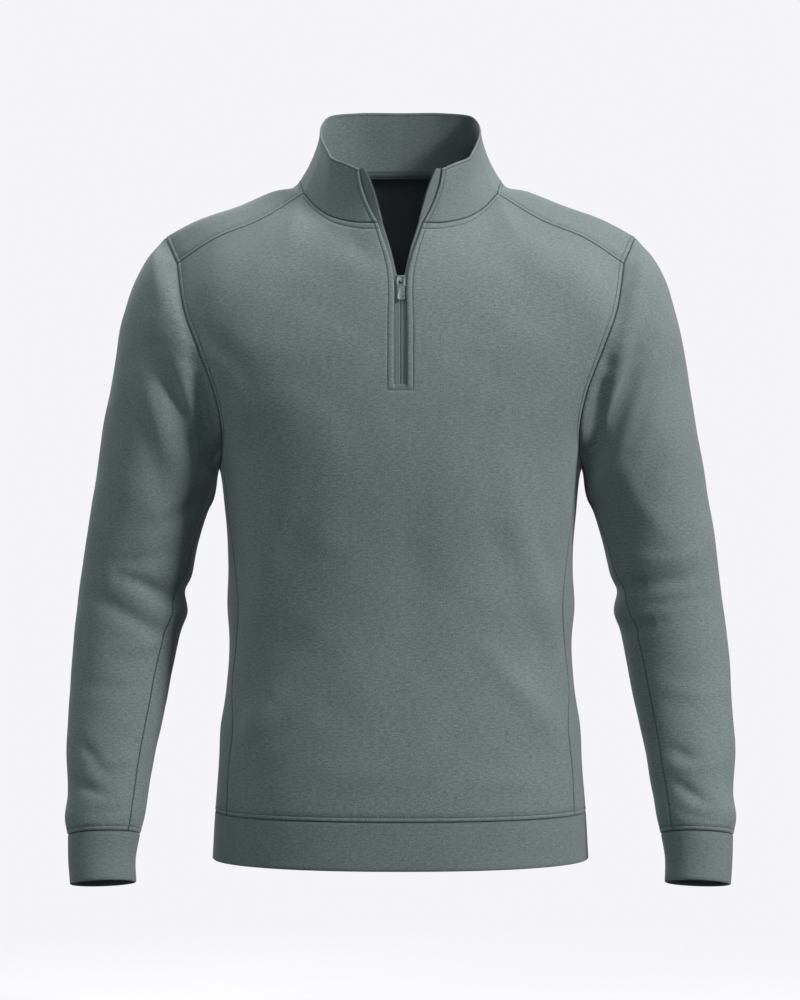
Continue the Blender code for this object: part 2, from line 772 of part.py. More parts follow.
def zip_tape(fold, normals, name, side):
    """A zip tape under the folded edge of the opening; fold runs from the slit's end upwards."""
    half_gap = opening_at("tape", fold[:, 2])
    turn_in = np.clip((half_gap - 1) / 6, 0, 1)
    normals = normals * np.stack([turn_in, np.ones(len(fold)), np.ones(len(fold))], axis=1)
    normals /= np.linalg.norm(normals, axis=1, keepdims=True)
    along = np.gradient(fold, axis=0)
    along /= np.linalg.norm(along, axis=1, keepdims=True)
    across = np.cross(normals, along)
    across /= np.linalg.norm(across, axis=1, keepdims=True)
    across *= -np.sign(across[:, :1] * side)
    visible = (np.abs(fold[:, 0]) - half_gap) / np.abs(across[:, 0])
    grid = []
    for share in np.linspace(0, 1, 4):
        reach = -TAPE_UNDER + (visible + TAPE_UNDER) * share
        grid.append(fold + across * reach[:, None] - normals * TAPE_DEPTH)
    grid = np.stack(grid, axis=1)
    if side > 0:
        grid = grid[:, ::-1]
    return Piece(name, grid, wall=TAPE, colour="tape")


def neck_tape(collar, back, collar_normals, back_normals):
    """Tape inside the back of the neck, half on the collar and half on the back panel."""
    reach = COLUMNS["neck_back"] - NECK_TAPE["columns_short"]
    inwards = BAND_CLOTH + NECK_TAPE["clearance"]
    middle_collar = collar.grid.shape[1] // 2
    middle_back = back.grid.shape[1] // 2
    half = NECK_TAPE["height"] / 2
    rows = []
    for height in (-half, 0.0, half):
        on_collar = height > 0
        row = []
        for column in range(-reach, reach + 1):
            seam = collar.grid[0, middle_collar + column]
            above = collar.grid[1, middle_collar + column]
            below = back.grid[-2, middle_back + column]
            towards = above if on_collar else below
            way = (towards - seam) / np.linalg.norm(towards - seam)
            normal = collar_normals[0, middle_collar + column]
            row.append(seam + way * abs(height) - normal * inwards)
        rows.append(row)
    return Piece("neck_tape", rows, wall=TAPE, colour="tape")


def slider_frame(fold):
    """Placement of the slider on the tapes: X across, Y into the chest and Z up along it."""
    low, high = SLIDER_LEVEL - PLATE["height"] / 2, SLIDER_LEVEL + PLATE["height"] / 2
    upwards = fold[1:]
    y_low, y_high, y_here = np.interp((low, high, SLIDER_LEVEL), upwards[:, 2], upwards[:, 1])
    lean = math.atan2(y_high - y_low, high - low)
    inwards = Vector((0, math.cos(lean), -math.sin(lean))) * TAPE_DEPTH
    place = Vector((SLIDER_ACROSS, y_here, SLIDER_LEVEL)) + inwards
    return Matrix.Translation(place * MM) @ Matrix.Rotation(-lean, 4, "X")


def add_box(name, size, centre, frame, collection, bevel=0.0):
    """A box in the slider's frame, sized and placed as (across, out of the chest, up)."""
    bpy.ops.mesh.primitive_cube_add(size=1)
    box = bpy.context.object
    box.name = name
    for other in box.users_collection:
        other.objects.unlink(box)
    collection.objects.link(box)
    width, thickness, height = size
    across, out, up = centre
    shape = Matrix.Translation(Vector((across, -out, up)) * MM)
    shape = shape @ Matrix.Diagonal(Vector((width * MM, thickness * MM, height * MM, 1)))
    box.data.transform(shape)
    box.matrix_world = frame
    if bevel:
        rounding = box.modifiers.new("rounding", "BEVEL")
        rounding.width = bevel * MM
        rounding.segments = 2
        rounding.limit_method = "ANGLE"
    return box


def as_cutter(tool):
    """Mark an object as a tool that shapes another one and is no part of the garment."""
    tool.hide_render = True
    tool.display_type = "WIRE"


def join_or_cut(target, tool, operation):
    """Join a tool to the target, or cut it away, by an exact Boolean."""
    change = target.modifiers.new(operation.lower(), "BOOLEAN")
    change.operation = operation
    change.solver = "EXACT"
    change.object = tool
    as_cutter(tool)


def add_slider(frame, collection, cutters):
    """The slider: front and back plates, the post between the tapes, and the pull's bridge."""
    front_out = PLATE_CLEARANCE + PLATE["thickness"] / 2
    back_out = -TAPE - PLATE_CLEARANCE - PLATE["thickness"] / 2
    size = (PLATE["width"], PLATE["thickness"], PLATE["height"])
    slider = add_box("zip_slider", size, (0, front_out, 0), frame, collection, bevel=0.35)
    back = add_box("slider_back_plate", size, (0, back_out, 0), frame, cutters, bevel=0.35)
    size = (POST["width"], front_out - back_out, POST["height"])
    post = add_box("slider_post", size, (0, (front_out + back_out) / 2, POST["up"]), frame, cutters)
    face = PLATE_CLEARANCE + PLATE["thickness"]
    sink = PLATE["thickness"] / 2
    size = (BRIDGE["width"], BRIDGE["reach"] + sink, BRIDGE["height"])
    place = (0, face + (BRIDGE["reach"] - sink) / 2, BRIDGE["up"])
    bridge = add_box("slider_bridge", size, place, frame, cutters)
    clear = BRIDGE["reach"] - BRIDGE["bar"]
    size = (2 * BRIDGE["width"], clear, BRIDGE["height"] - 2 * BRIDGE["bar"])
    opening = add_box("slider_bridge_opening", size, (0, face + clear / 2, BRIDGE["up"]), frame, cutters)
    join_or_cut(bridge, opening, "DIFFERENCE")
    for tool in (back, post, bridge):
        join_or_cut(slider, tool, "UNION")
    slider.data.materials.append(material("metal", metallic=0.9, roughness=0.35))
    return slider


def rounded_outline(spline_data, width, bottom, top, corner):
    """Fill a closed 2D poly spline with a rectangle whose corners are rounded."""
    corners = (
        (width / 2 - corner, top - corner, 0),
        (-width / 2 + corner, top - corner, 90),
        (-width / 2 + corner, bottom + corner, 180),
        (width / 2 - corner, bottom + corner, 270),
    )
    points = []
    for centre_x, centre_y, first in corners:
        for step in range(4):
            angle = math.radians(first + 30 * step)
            points.append((centre_x + corner * math.cos(angle), centre_y + corner * math.sin(angle)))
    spline_data.points.add(len(points) - 1)
    for target, (x, y) in zip(spline_data.points, points):
        target.co = (x * MM, y * MM, 0, 1)
    spline_data.use_cyclic_u = True


def add_pull(frame, collection):
    """The pull tab, with its origin on the axis it turns about under the slider's bridge."""
    curve = bpy.data.curves.new("zip_pull_outline", "CURVE")
    curve.dimensions = "2D"
    curve.fill_mode = "BOTH"
    curve.extrude = PULL["thickness"] / 2 * MM
    top = PULL["hinge_below_end"]
    rounded_outline(curve.splines.new("POLY"), PULL["width"], top - PULL["length"], top, PULL["corner"])
    window_top = top - 2 * PULL["hinge_below_end"]
    rounded_outline(curve.splines.new("POLY"), PULL_WINDOW["width"], window_top - PULL_WINDOW["height"],
                    window_top, PULL_WINDOW["corner"])
    outline = bpy.data.objects.new("zip_pull_outline", curve)
    collection.objects.link(outline)
    bpy.context.view_layer.update()
    mesh = bpy.data.meshes.new_from_object(outline.evaluated_get(bpy.context.evaluated_depsgraph_get()))
    bm = bmesh.new()
    bm.from_mesh(mesh)
    bmesh.ops.remove_doubles(bm, verts=bm.verts, dist=0.02 * MM)
    bmesh.ops.rotate(bm, verts=bm.verts, cent=(0, 0, 0), matrix=Matrix.Rotation(math.radians(90), 3, "X"))
    bm.to_mesh(mesh)
    bm.free()
    bpy.data.objects.remove(outline)
    pull = bpy.data.objects.new("zip_pull", mesh)
    collection.objects.link(pull)
    pull.matrix_world = frame @ Matrix.Translation(Vector((0, -PULL_OUT, 0)) * MM)
    pull.data.materials.append(material("metal", metallic=0.9, roughness=0.35))
    return pull


# ---------------------------------------------------------------- assembly

def material(colour, metallic=0.0, roughness=0.9):
    """The material of a colour, made once."""
    name = f"{colour}_finish"
    if name in bpy.data.materials:
        return bpy.data.materials[name]
    finish = bpy.data.materials.new(name)
    finish.use_nodes = True
    shader = finish.node_tree.nodes["Principled BSDF"]
    shader.inputs["Base Color"].default_value = (*COLOURS[colour], 1)
    shader.inputs["Roughness"].default_value = roughness
    shader.inputs["Metallic"].default_value = metallic
    return finish


def add_object(name, mesh, colour, collection):
    """Put a mesh in the collection under its name, with its material."""
    thing = bpy.data.objects.new(name, mesh)
    collection.objects.link(thing)
    mesh.materials.append(material(colour))
    return thing


def new_collection(name):
    """A collection in the scene."""
    collection = bpy.data.collections.new(name)
    bpy.context.scene.collection.children.link(collection)
    return collection


def fold_line(front, collar, front_normals, collar_normals, side):
    """The folded edge of the zip opening on one side, with its normals, from the slit's end up."""
    first = ROWS_LOWER + ROWS_CHEST
    column = front.grid.shape[1] // 2 if side > 0 else front.grid.shape[1] // 2 - 1
    collar_column = 0 if side > 0 else -1
    line = np.concatenate([front.grid[first:, column], collar.grid[1:, collar_column]])
    normals = np.concatenate([front_normals[first:, column], collar_normals[1:, collar_column]])
    below = line[0] + (line[0] - line[1]) / np.linalg.norm(line[1] - line[0]) * TAPE_END
    return np.concatenate([[below], line]), np.concatenate([normals[:1], normals])


def main():
    """Remove what the scene holds and build the pullover."""
    for thing in list(bpy.data.objects):
        bpy.data.objects.remove(thing, do_unlink=True)
    garment = new_collection("quarter_zip_pullover")
    cutters = new_collection("cutters")

    pieces, loop = torso_pieces()
    pieces += sleeve_pieces(loop)
    pieces.append(collar_piece())
    raise_folds(pieces)
    normals = shared_normals(pieces)
    for piece, (shared, alone) in zip(pieces, normals):
        add_wall(piece, shared, alone, garment)

    by_name = {piece.name: (piece, pair[0]) for piece, pair in zip(pieces, normals)}
    front, front_normals = by_name["front_panel"]
    back, back_normals = by_name["back_panel"]
    collar, collar_normals = by_name["collar"]
    trims = []
    for name, side in (("zip_tape_right", 1), ("zip_tape_left", -1)):
        line, line_normals = fold_line(front, collar, front_normals, collar_normals, side)
        trims.append(zip_tape(line, line_normals, name, side))
    trims.append(neck_tape(collar, back, collar_normals, back_normals))
    for piece in trims:
        shared, alone = shared_normals([piece])[0]
        add_wall(piece, shared, alone, garment)

    frame = slider_frame(line)
    add_slider(frame, garment, cutters)
    add_pull(frame, garment)


main()
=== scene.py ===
"""Looks of a quarter-zip pullover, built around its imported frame.

Every cloth piece is cut again from the solids' own sizes at a finer grain, with rolled seams,
grooves for the stitching and small creases, and takes the place of its solid. Sizes are in
millimetres until the meshes are made.
"""

import math

import bpy
import numpy as np
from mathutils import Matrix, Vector


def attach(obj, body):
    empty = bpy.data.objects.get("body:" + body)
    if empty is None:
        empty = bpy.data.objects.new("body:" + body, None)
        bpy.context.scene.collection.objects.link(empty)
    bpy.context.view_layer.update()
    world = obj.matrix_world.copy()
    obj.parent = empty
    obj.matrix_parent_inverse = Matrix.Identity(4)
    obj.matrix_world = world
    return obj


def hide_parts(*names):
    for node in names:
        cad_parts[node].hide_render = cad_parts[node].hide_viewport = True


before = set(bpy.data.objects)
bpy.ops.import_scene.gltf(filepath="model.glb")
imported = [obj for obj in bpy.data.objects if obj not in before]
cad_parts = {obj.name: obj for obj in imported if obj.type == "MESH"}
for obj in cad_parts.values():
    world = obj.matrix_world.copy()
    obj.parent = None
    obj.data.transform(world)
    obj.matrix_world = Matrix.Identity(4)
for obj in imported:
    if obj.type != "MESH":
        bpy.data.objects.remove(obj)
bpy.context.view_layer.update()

MM = 0.001
OTHER_SIDE = np.array([-1.0, 1.0, 1.0])

# Cloth thicknesses and the gap at a seam.
CLOTH = 2.0
BAND_CLOTH = 2.2
TAPE = 1.0
SEAM_GAP = 0.3

# Least cosine between a piece and its seam's shared normal that still thickens the wall there.
STEEPEST_SEAM = 0.45

# Squareness of the torso's rings: 1 is an ellipse, less is squarer.
RING_POWER = 0.9

# Quads along each stretch of a panel's grid.
COLUMNS = {"neck_front": 30, "neck_back": 36, "shoulder": 36, "side": 24}
HALF_COLUMNS = COLUMNS["neck_front"] + COLUMNS["shoulder"]
ROWS_LOWER = 66
ROWS_CHEST = 18
ROWS_YOKE_FRONT = 42
ROWS_YOKE_BACK = 72
ROWS_SLEEVE = 168
ROWS_COLLAR = 30
ROWS_BAND = 12

# How often the points over the shoulder blades are eased sideways, and over how many rows below
# the top edge that fades.
EASING_ROUNDS = 180
ROWS_EASED_LESS = 36


def table(columns, *rows):
    """Rows of numbers under named columns, as one array for each name."""
    return {name: np.array(values, float) for name, values in zip(columns.split(), zip(*rows))}


# The torso's rings below the arms: height, half width, depth before and behind the middle
# plane, and the angle from the front at which the side panel's front seam lies.
TORSO = table(
    "level width front back seam",
    (-653, 190.5, 128, 122, 66.5),
    (-605, 187.0, 126, 117, 67.5),
    (-565, 184.5, 123, 112, 66.0),
    (-525, 178.5, 120, 107, 73.0),
    (-485, 176.0, 118, 104, 71.0),
    (-443, 178.5, 118, 104, 66.0),
    (-400, 177.0, 120, 108, 71.0),
    (-345, 180.5, 126, 115, 76.0),
    (-270, 187.0, 131, 122, 80.0),
)
HEM_SEAM = -653.0
HEM_EDGE = -701.5
HEM_FLARE = 0.015

# Places round the right armhole.
ARMHOLE = {
    "front_side": (181.5, -34, -287),
    "front_under": (181, -60, -262),
    "front_low": (187, -76, -228),
    "front_mid": (204, -82, -181),
    "front_high": (219, -70, -139),
    "shoulder": (227.5, -39, -93),
    "top": (242, 3, -63.5),
    "back_high": (231, 50, -95),
    "back_mid": (214, 80, -145),
    "back_low": (199, 90, -197),
    "back_under": (187, 72, -252),
    "back_side": (183, 34, -289),
}

# How far the side panel dips under the arm, and the power by which it does so late up the panel.
UNDERARM_DIP = 12.0
DIP_POWER = 12

# Rows of the chest and of the shoulder blades: the panel's middle, its armhole place and how far
# the row has turned by then.
CHEST_ROWS = (
    {"middle": (-130.0, -302), "edge": "front_side", "turn": 78},
    {"middle": (-131.0, -268), "edge": "front_under", "turn": 68},
    {"middle": (-129.5, -219), "edge": "front_low", "turn": 60},
    {"middle": (-122.5, -163), "edge": "front_mid", "turn": 54},
)
BLADE_ROWS = (
    {"middle": (120.0, -302), "edge": "back_side", "turn": 78},
    {"middle": (124.0, -262), "edge": "back_under", "turn": 68},
    {"middle": (124.0, -205), "edge": "back_low", "turn": 60},
    {"middle": (117.0, -145), "edge": "back_mid", "turn": 54},
)

# The neck seam from the zip to the shoulder seam, and from there to the middle of the back.
NECK_FRONT = table(
    "x y z",
    (23.2, -86, -55.2),
    (41.0, -79, -54.8),
    (55.0, -71, -52.2),
    (69.5, -60, -47.3),
    (84.5, -45, -37.0),
    (99.0, -27, -20.5),
)
NECK_BACK = table(
    "x y z",
    (99.0, -27, -20.5),
    (103.0, 2, -4.0),
    (96.0, 27, 3.5),
    (75.0, 47, 6.5),
    (45.0, 57, 7.5),
    (0.0, 60, 8.0),
)
SHOULDER_SEAM = table(
    "x y z",
    (99.0, -27, -20.5),
    (144.0, -44, -49.5),
    (187.0, -47, -67.5),
    (227.5, -39, -93.0),
)

# Rows just below the front's top edge and over the shoulder: how far each lies from the panel's
# top edge at shares of the neck seam, from the panel's middle to the shoulder seam.
FRONT_TOP_ROWS = (
    {"edge": "front_high", "offsets": table(
        "share x y z",
        (0.00, -15.2, -22, -50),
        (0.50, -4.0, -36, -46),
        (1.00, 14.0, -49, -50),
    )},
)
BACK_TOP_ROWS = (
    {"edge": "back_high", "offsets": table(
        "share x y z",
        (0.00, 0.0, 36, -64),
        (0.50, 4.0, 44, -56),
        (0.83, 9.5, 70, -43),
        (1.00, 31.0, 94, -25),
    )},
    {"edge": "top", "offsets": table(
        "share x y z",
        (0.00, 0.0, 12, -15.0),
        (0.50, 11.0, 17, -13.5),
        (0.83, 14.5, 24, -11.0),
        (1.00, 24.0, 30, 11.0),
    )},
)

# Half width between the folded edges of the zip opening, and of the gap between the zip tapes.
ZIP_OPENING = table(
    "level fold tape",
    (-219, 6.9, 0.08),
    (-170, 6.9, 0.08),
    (-124, 6.9, 0.10),
    (-119, 7.0, 0.75),
    (-107, 8.2, 4.2),
    (-82, 14.6, 10.6),
    (-57, 23.2, 19.2),
    (-28, 32.5, 28.4),
    (0, 42.5, 38.4),
)

# The collar's top edge from the zip to the middle of the back, by share of its length.
COLLAR_TOP = table(
    "share x y z",
    (0.00, 42.5, -75, 0),
    (0.11, 57.0, -62, 7.5),
    (0.19, 68.0, -50, 12.8),
    (0.22, 71.4, -45, 15.3),
    (0.25, 73.7, -39, 19.8),
    (0.34, 79.0, -20, 31.5),
    (0.46, 83.0, 5, 45),
    (0.58, 81.5, 27, 58),
    (0.69, 73.5, 45, 67.5),
    (0.81, 47.0, 55, 71.5),
    (1.00, 0.0, 58, 72),
)
COLLAR_FLARE = 1.7

# The right sleeve's rings: outer and inner point, middle and half depth front to back, and how
# much the front of the ring is raised for each millimetre of depth.
SLEEVE = table(
    "out_x out_z in_x in_z middle depth tilt",
    (256.0, -79, 188.5, -311, 2, 84, 0.00),
    (272.5, -106, 190.0, -322, 4, 80, 0.00),
    (284.5, -142, 193.0, -333, 5, 77, 0.00),
    (294.0, -190, 198.5, -344, 5, 74, 0.00),
    (302.5, -240, 203.5, -359, 6, 71, 0.00),
    (310.5, -288, 208.5, -378, 6, 68, 0.00),
    (319.3, -340, 212.5, -400, 6, 64, 0.00),
    (327.0, -396, 218.0, -428, 5, 60, 0.02),
    (332.8, -445, 224.0, -456, 2, 56, 0.06),
    (337.0, -500, 232.5, -500, -6, 51, 0.12),
    (340.0, -550, 241.5, -548, -18, 47, 0.18),
    (341.0, -597, 251.0, -597, -33, 43, 0.21),
    (338.5, -633, 257.0, -632, -44, 40, 0.22),
    (340.0, -658, 260.0, -656, -52, 38, 0.22),
    (336.5, -673, 263.5, -671, -56, 34.5, 0.22),
)
CUFF = table(
    "out_x out_z in_x in_z middle depth tilt",
    (335.5, -698, 267.5, -696, -61, 33, 0.22),
    (333.3, -722, 266.5, -719, -66, 32.5, 0.22),
)

# The largest folds: the side of the piece each is seen from, its two ends and the point it bends
# towards across that side, its half breadth and its height (a trough is below zero).
BODY_FOLDS = (
    ("front", (-118, -340), (-136, -420), (-161, -474), 17, 4.5),
    ("front", (-128, -530), (-140, -555), (-163, -573), 14, 4.5),
    ("front", (104, -310), (124, -400), (166, -486), 17, 4.5),
    ("front", (90, -490), (128, -530), (164, -577), 16, 4.5),
    ("front", (10, -340), (16, -410), (10, -480), 24, -2.5),
    ("front", (-206, -165), (-186, -176), (-165, -200), 13, -2.5),
    ("front", (204, -168), (188, -180), (168, -206), 13, -2.0),
    ("front", (-52, -70), (-42, -78), (-32, -92), 10, -2.5),
    ("back", (-112, -330), (-134, -410), (-160, -470), 18, 4.5),
    ("back", (108, -316), (130, -405), (158, -480), 18, 4.5),
    ("back", (-60, -470), (0, -492), (66, -468), 15, -3.5),
    ("back", (-96, -525), (-130, -555), (-158, -580), 15, 4.0),
    ("back", (86, -520), (120, -552), (156, -572), 15, 4.0),
    ("back", (-188, -150), (-170, -190), (-140, -236), 14, -3.0),
    ("back", (188, -156), (168, -196), (142, -230), 14, -3.0),
)
LEFT_SLEEVE_FOLDS = (
    ("front", (-248, -155), (-224, -225), (-194, -280), 13, 5.0),
    ("front", (-252, -180), (-240, -210), (-222, -248), 9, -4.0),
    ("front", (-263, -210), (-250, -245), (-232, -284), 12, 3.5),
    ("front", (-284, -410), (-246, -424), (-219, -446), 8, -4.5),
    ("front", (-310, -432), (-276, -450), (-233, -476), 9, -3.5),
    ("front", (-323, -578), (-312, -590), (-296, -608), 7, -2.5),
    ("front", (-332, -618), (-318, -621), (-300, -628), 6, -3.0),
    ("back", (-250, -160), (-226, -222), (-200, -284), 13, 4.5),
    ("back", (-262, -196), (-246, -246), (-224, -300), 10, -3.5),
    ("back", (-318, -420), (-280, -438), (-240, -430), 10, -3.0),
    ("back", (-330, -600), (-306, -612), (-276, -606), 8, -2.5),
)
RIGHT_SLEEVE_FOLDS = (
    ("front", (252, -174), (222, -226), (188, -290), 10, -5.0),
    ("front", (238, -160), (208, -214), (190, -262), 11, 3.0),
    ("front", (254, -212), (244, -250), (232, -288), 11, -3.0),
    ("front", (246, -420), (270, -417), (295, -411), 9, -3.5),
    ("front", (226, -468), (246, -462), (262, -456), 8, -3.0),
    ("front", (274, -585), (284, -590), (296, -595), 7, -2.5),
    ("front", (277, -618), (290, -626), (308, -639), 6, -3.0),
    ("back", (248, -164), (228, -230), (202, -288), 12, -4.0),
    ("back", (264, -200), (250, -250), (226, -296), 12, 3.5),
    ("back", (314, -416), (276, -436), (238, -428), 10, -3.0),
    ("back", (326, -604), (304, -614), (274, -608), 8, -2.5),
)
INNER_ELBOW_FOLDS = (
    ("inner", (-46, -424), (0, -426), (46, -432), 11, -5.0),
    ("inner", (-40, -450), (0, -449), (40, -454), 11, 2.5),
)
FACINGS = {"front": (0, -1, 0), "back": (0, 1, 0)}

# Height of the zip slider, inside which the coil is left out.
SLIDER_LEVEL = -115.0

# Back neck tape, and how far the zip tapes lie behind, under and below the slit's edges.
NECK_TAPE = {"height": 9.5, "columns_short": 2, "clearance": 1.8}
TAPE_DEPTH = BAND_CLOTH + 0.8
TAPE_UNDER = 4.0
TAPE_END = 4.0


# ---------------------------------------------------------------- curves and sections

# Fine steps to each stretch when a curve's length is measured.
FINE_STEPS = 20


def spline(knots, values, places):
    """Smooth curve through the values at the knots, read at the places."""
    knots = np.asarray(knots, float)
    values = np.asarray(values, float)
    spread = (-1,) + (1,) * (values.ndim - 1)
    steps = np.diff(knots).reshape(spread)
    slopes = np.diff(values, axis=0) / steps
    tangents = np.empty_like(values)
    tangents[0] = slopes[0]
    tangents[-1] = slopes[-1]
    tangents[1:-1] = (steps[1:] * slopes[:-1] + steps[:-1] * slopes[1:]) / (steps[1:] + steps[:-1])
    places = np.atleast_1d(np.asarray(places, float))
    span = np.clip(np.searchsorted(knots, places, side="right") - 1, 0, len(knots) - 2)
    step = steps[span]
    t = (places - knots[span]).reshape(spread) / step
    start = (1 + 2 * t) * (1 - t) ** 2 * values[span] + t * (1 - t) ** 2 * step * tangents[span]
    end = t * t * (3 - 2 * t) * values[span + 1] + t * t * (t - 1) * step * tangents[span + 1]
    return start + end


def points_of(columns):
    """The x, y, z columns of a table as an array of points."""
    return np.stack([columns["x"], columns["y"], columns["z"]], axis=1)


def lengths_along(points):
    """Length from the first point to each point of a polyline."""
    return np.concatenate([[0.0], np.cumsum(np.linalg.norm(np.diff(points, axis=0), axis=1))])


def unit(vectors):
    """Vectors brought to length one."""
    return vectors / np.linalg.norm(vectors, axis=-1, keepdims=True)


def read_along(line, values, places):
    """Vectors given at lengths along a line, read at places between them."""
    return np.stack([np.interp(places, line, values[:, axis]) for axis in range(3)], axis=-1)


def even_points(points, count):
    """Points on the smooth curve through some points, evenly spaced into so many stretches."""
    knots = lengths_along(points)
    fine = spline(knots, points, np.linspace(0, knots[-1], FINE_STEPS * count))
    reached = lengths_along(fine)
    wanted = np.linspace(0, reached[-1], count + 1)
    places = np.interp(wanted, reached, np.linspace(0, knots[-1], len(fine)))
    return spline(knots, points, places)


def loft(sections, counts):
    """Rows through the sections; counts has (section index, rows from the last one to it)."""
    sections = np.asarray(sections, float)
    gaps = np.linalg.norm(np.diff(sections, axis=0), axis=2).mean(axis=1)
    knots = np.concatenate([[0.0], np.cumsum(gaps)])
    places = [knots[0]]
    last = 0
    for index, count in counts:
        places.extend(np.linspace(knots[last], knots[index], count + 1)[1:])
        last = index
    return spline(knots, sections, places)


def torso_at(level):
    """Half width, front depth, back depth and seam angle of the torso's ring at a height."""
    rings = np.stack([TORSO[name] for name in ("width", "front", "back", "seam")], axis=1)
    return spline(TORSO["level"], rings, level)[0]


def opening_at(name, level):
    """Half width of the zip opening at a height, between its folded edges or its tapes."""
    return np.interp(level, ZIP_OPENING["level"], ZIP_OPENING[name])


def arc_row(middle, edge, turn, inner, shares):
    """Half of one level row: from x = inner near the middle, round to the edge.

    middle is (y, z) at x = 0, turn is the angle in radians through which the row has turned
    at the edge, and shares are the places along it from 0 to 1.
    """
    edge_x, edge_y, edge_z = edge
    start = math.asin((inner / edge_x) ** (1 / RING_POWER) * math.sin(turn)) / turn
    part = start + (1 - start) * np.asarray(shares)
    angle = part * turn
    x = edge_x * (np.sin(angle) / math.sin(turn)) ** RING_POWER
    fall = (1 - np.cos(angle) ** RING_POWER) / (1 - math.cos(turn) ** RING_POWER)
    y = middle[0] + (edge_y - middle[0]) * fall
    z = middle[1] + (edge_z - middle[1]) * part ** 2
    return np.stack([x, y, z], axis=1)


def ring_row(level, side, inner, shares):
    """Half of a torso ring, on the front (side -1) or the back (side 1), to the side seam."""
    width, front, back, seam = torso_at(level)
    turn = math.radians(seam)
    depth = front if side < 0 else back
    edge = (width * math.sin(turn) ** RING_POWER, side * depth * math.cos(turn) ** RING_POWER, level)
    return arc_row((side * depth, level), edge, turn, inner, shares)


def neck_seam_half():
    """The right half of the neck seam, from the zip to the middle of the back."""
    front = even_points(points_of(NECK_FRONT), COLUMNS["neck_front"])
    back = even_points(points_of(NECK_BACK), COLUMNS["neck_back"])
    return np.concatenate([front, back[1:]])


def top_edge(neck_points):
    """A panel's top edge: its part of the neck seam up to the shoulder, then the shoulder seam."""
    shoulder_points = even_points(points_of(SHOULDER_SEAM), COLUMNS["shoulder"])
    return np.concatenate([neck_points, shoulder_points[1:]])


def shoulder_row(top, neck_count, row):
    """A row near a panel's top edge, set off from it by the row's own amounts."""
    offsets = row["offsets"]
    by_neck = spline(offsets["share"], points_of(offsets), np.linspace(0, 1, neck_count + 1))
    corner = by_neck[-1]
    at_armhole = np.array(ARMHOLE[row["edge"]], float) - top[-1]
    shares = np.linspace(0, 1, len(top) - neck_count)[1:, None]
    return top + np.concatenate([by_neck, corner + (at_armhole - corner) * shares])


# ---------------------------------------------------------------- the cut pieces

def mirrored(grid):
    """A grid on the other side of the middle plane, still facing outwards."""
    return grid[:, ::-1] * OTHER_SIDE


def front_half():
    """Right half of the front, from the zip's folded edge to the side seam and armhole."""
    neck = COLUMNS["neck_front"]
    count = neck + COLUMNS["shoulder"]
    shares = np.linspace(0, 1, count + 1)
    slit_end = opening_at("fold", CHEST_ROWS[2]["middle"][1])
    sections = [ring_row(level, -1, slit_end, shares) for level in TORSO["level"][:-1]]
    for row in CHEST_ROWS:
        inner = opening_at("fold", row["middle"][1])
        edge = ARMHOLE[row["edge"]]
        sections.append(arc_row(row["middle"], edge, math.radians(row["turn"]), inner, shares))
    top = top_edge(neck_seam_half()[:neck + 1])
    sections.extend(shoulder_row(top, neck, row) for row in FRONT_TOP_ROWS)
    sections.append(top)
    armpit = len(TORSO["level"]) - 1
    slit = armpit + 2
    counts = ((armpit, ROWS_LOWER), (slit, ROWS_CHEST), (len(sections) - 1, ROWS_YOKE_FRONT))
    return loft(sections, counts)


def back_half():
    """Right half of the back, from its middle to the side seam, armhole and shoulder seam."""
    neck = COLUMNS["neck_back"]
    count = neck + COLUMNS["shoulder"]
    shares = np.linspace(0, 1, count + 1)
    sections = [ring_row(level, 1, 0.0, shares) for level in TORSO["level"][:-1]]
    for row in BLADE_ROWS:
        edge = ARMHOLE[row["edge"]]
        sections.append(arc_row(row["middle"], edge, math.radians(row["turn"]), 0.0, shares))
    top = top_edge(neck_seam_half()[COLUMNS["neck_front"]:][::-1])
    sections.extend(shoulder_row(top, neck, row) for row in BACK_TOP_ROWS)
    sections.append(top)
    armpit = len(TORSO["level"]) - 1
    counts = ((armpit, ROWS_LOWER), (len(sections) - 1, ROWS_YOKE_BACK))
    return loft(sections, counts)


def eased(grid, first_row, rounds):
    """A grid whose rows from the first one up are eased sideways, less and less near its top edge."""
    grid = grid.copy()
    last = len(grid) - 1
    below_top = last - np.arange(first_row, last)
    ease = np.clip(below_top / ROWS_EASED_LESS, 0, 1)[:, None, None] / 2
    for _ in range(rounds):
        inner = grid[first_row:last, 1:-1]
        mean = (grid[first_row:last, :-2] + grid[first_row:last, 2:]) / 2
        grid[first_row:last, 1:-1] = inner + (mean - inner) * ease
    return grid


def ring_width(level, y):
    """Half width of the torso's ring at a height and a depth."""
    width, front, back, _ = torso_at(level)
    depth = front if y < 0 else back
    return width * (1 - min(abs(y) / depth, 1) ** (2 / RING_POWER)) ** (RING_POWER / 2)


def side_panel(front_edge, back_edge):
    """Right side panel between the front's and the back's side seams, from hem to armhole."""
    shares = np.linspace(0, 1, COLUMNS["side"] + 1)
    grid = []
    for front, back in zip(front_edge, back_edge):
        rise = (front[2] - HEM_SEAM) / (front_edge[-1][2] - HEM_SEAM)
        dip = UNDERARM_DIP * rise ** DIP_POWER
        off_front = front[0] - ring_width(front[2], front[1])
        off_back = back[0] - ring_width(back[2], back[1])
        row = []
        for share in shares:
            y = front[1] + (back[1] - front[1]) * share
            level = front[2] + (back[2] - front[2]) * share
            x = ring_width(level, y) + off_front + (off_back - off_front) * share
            row.append((x, y, level - dip * (1 - (2 * share - 1) ** 2)))
        grid.append(row)
    grid = np.array(grid)
    grid[:, 0] = front_edge
    grid[:, -1] = back_edge
    return grid


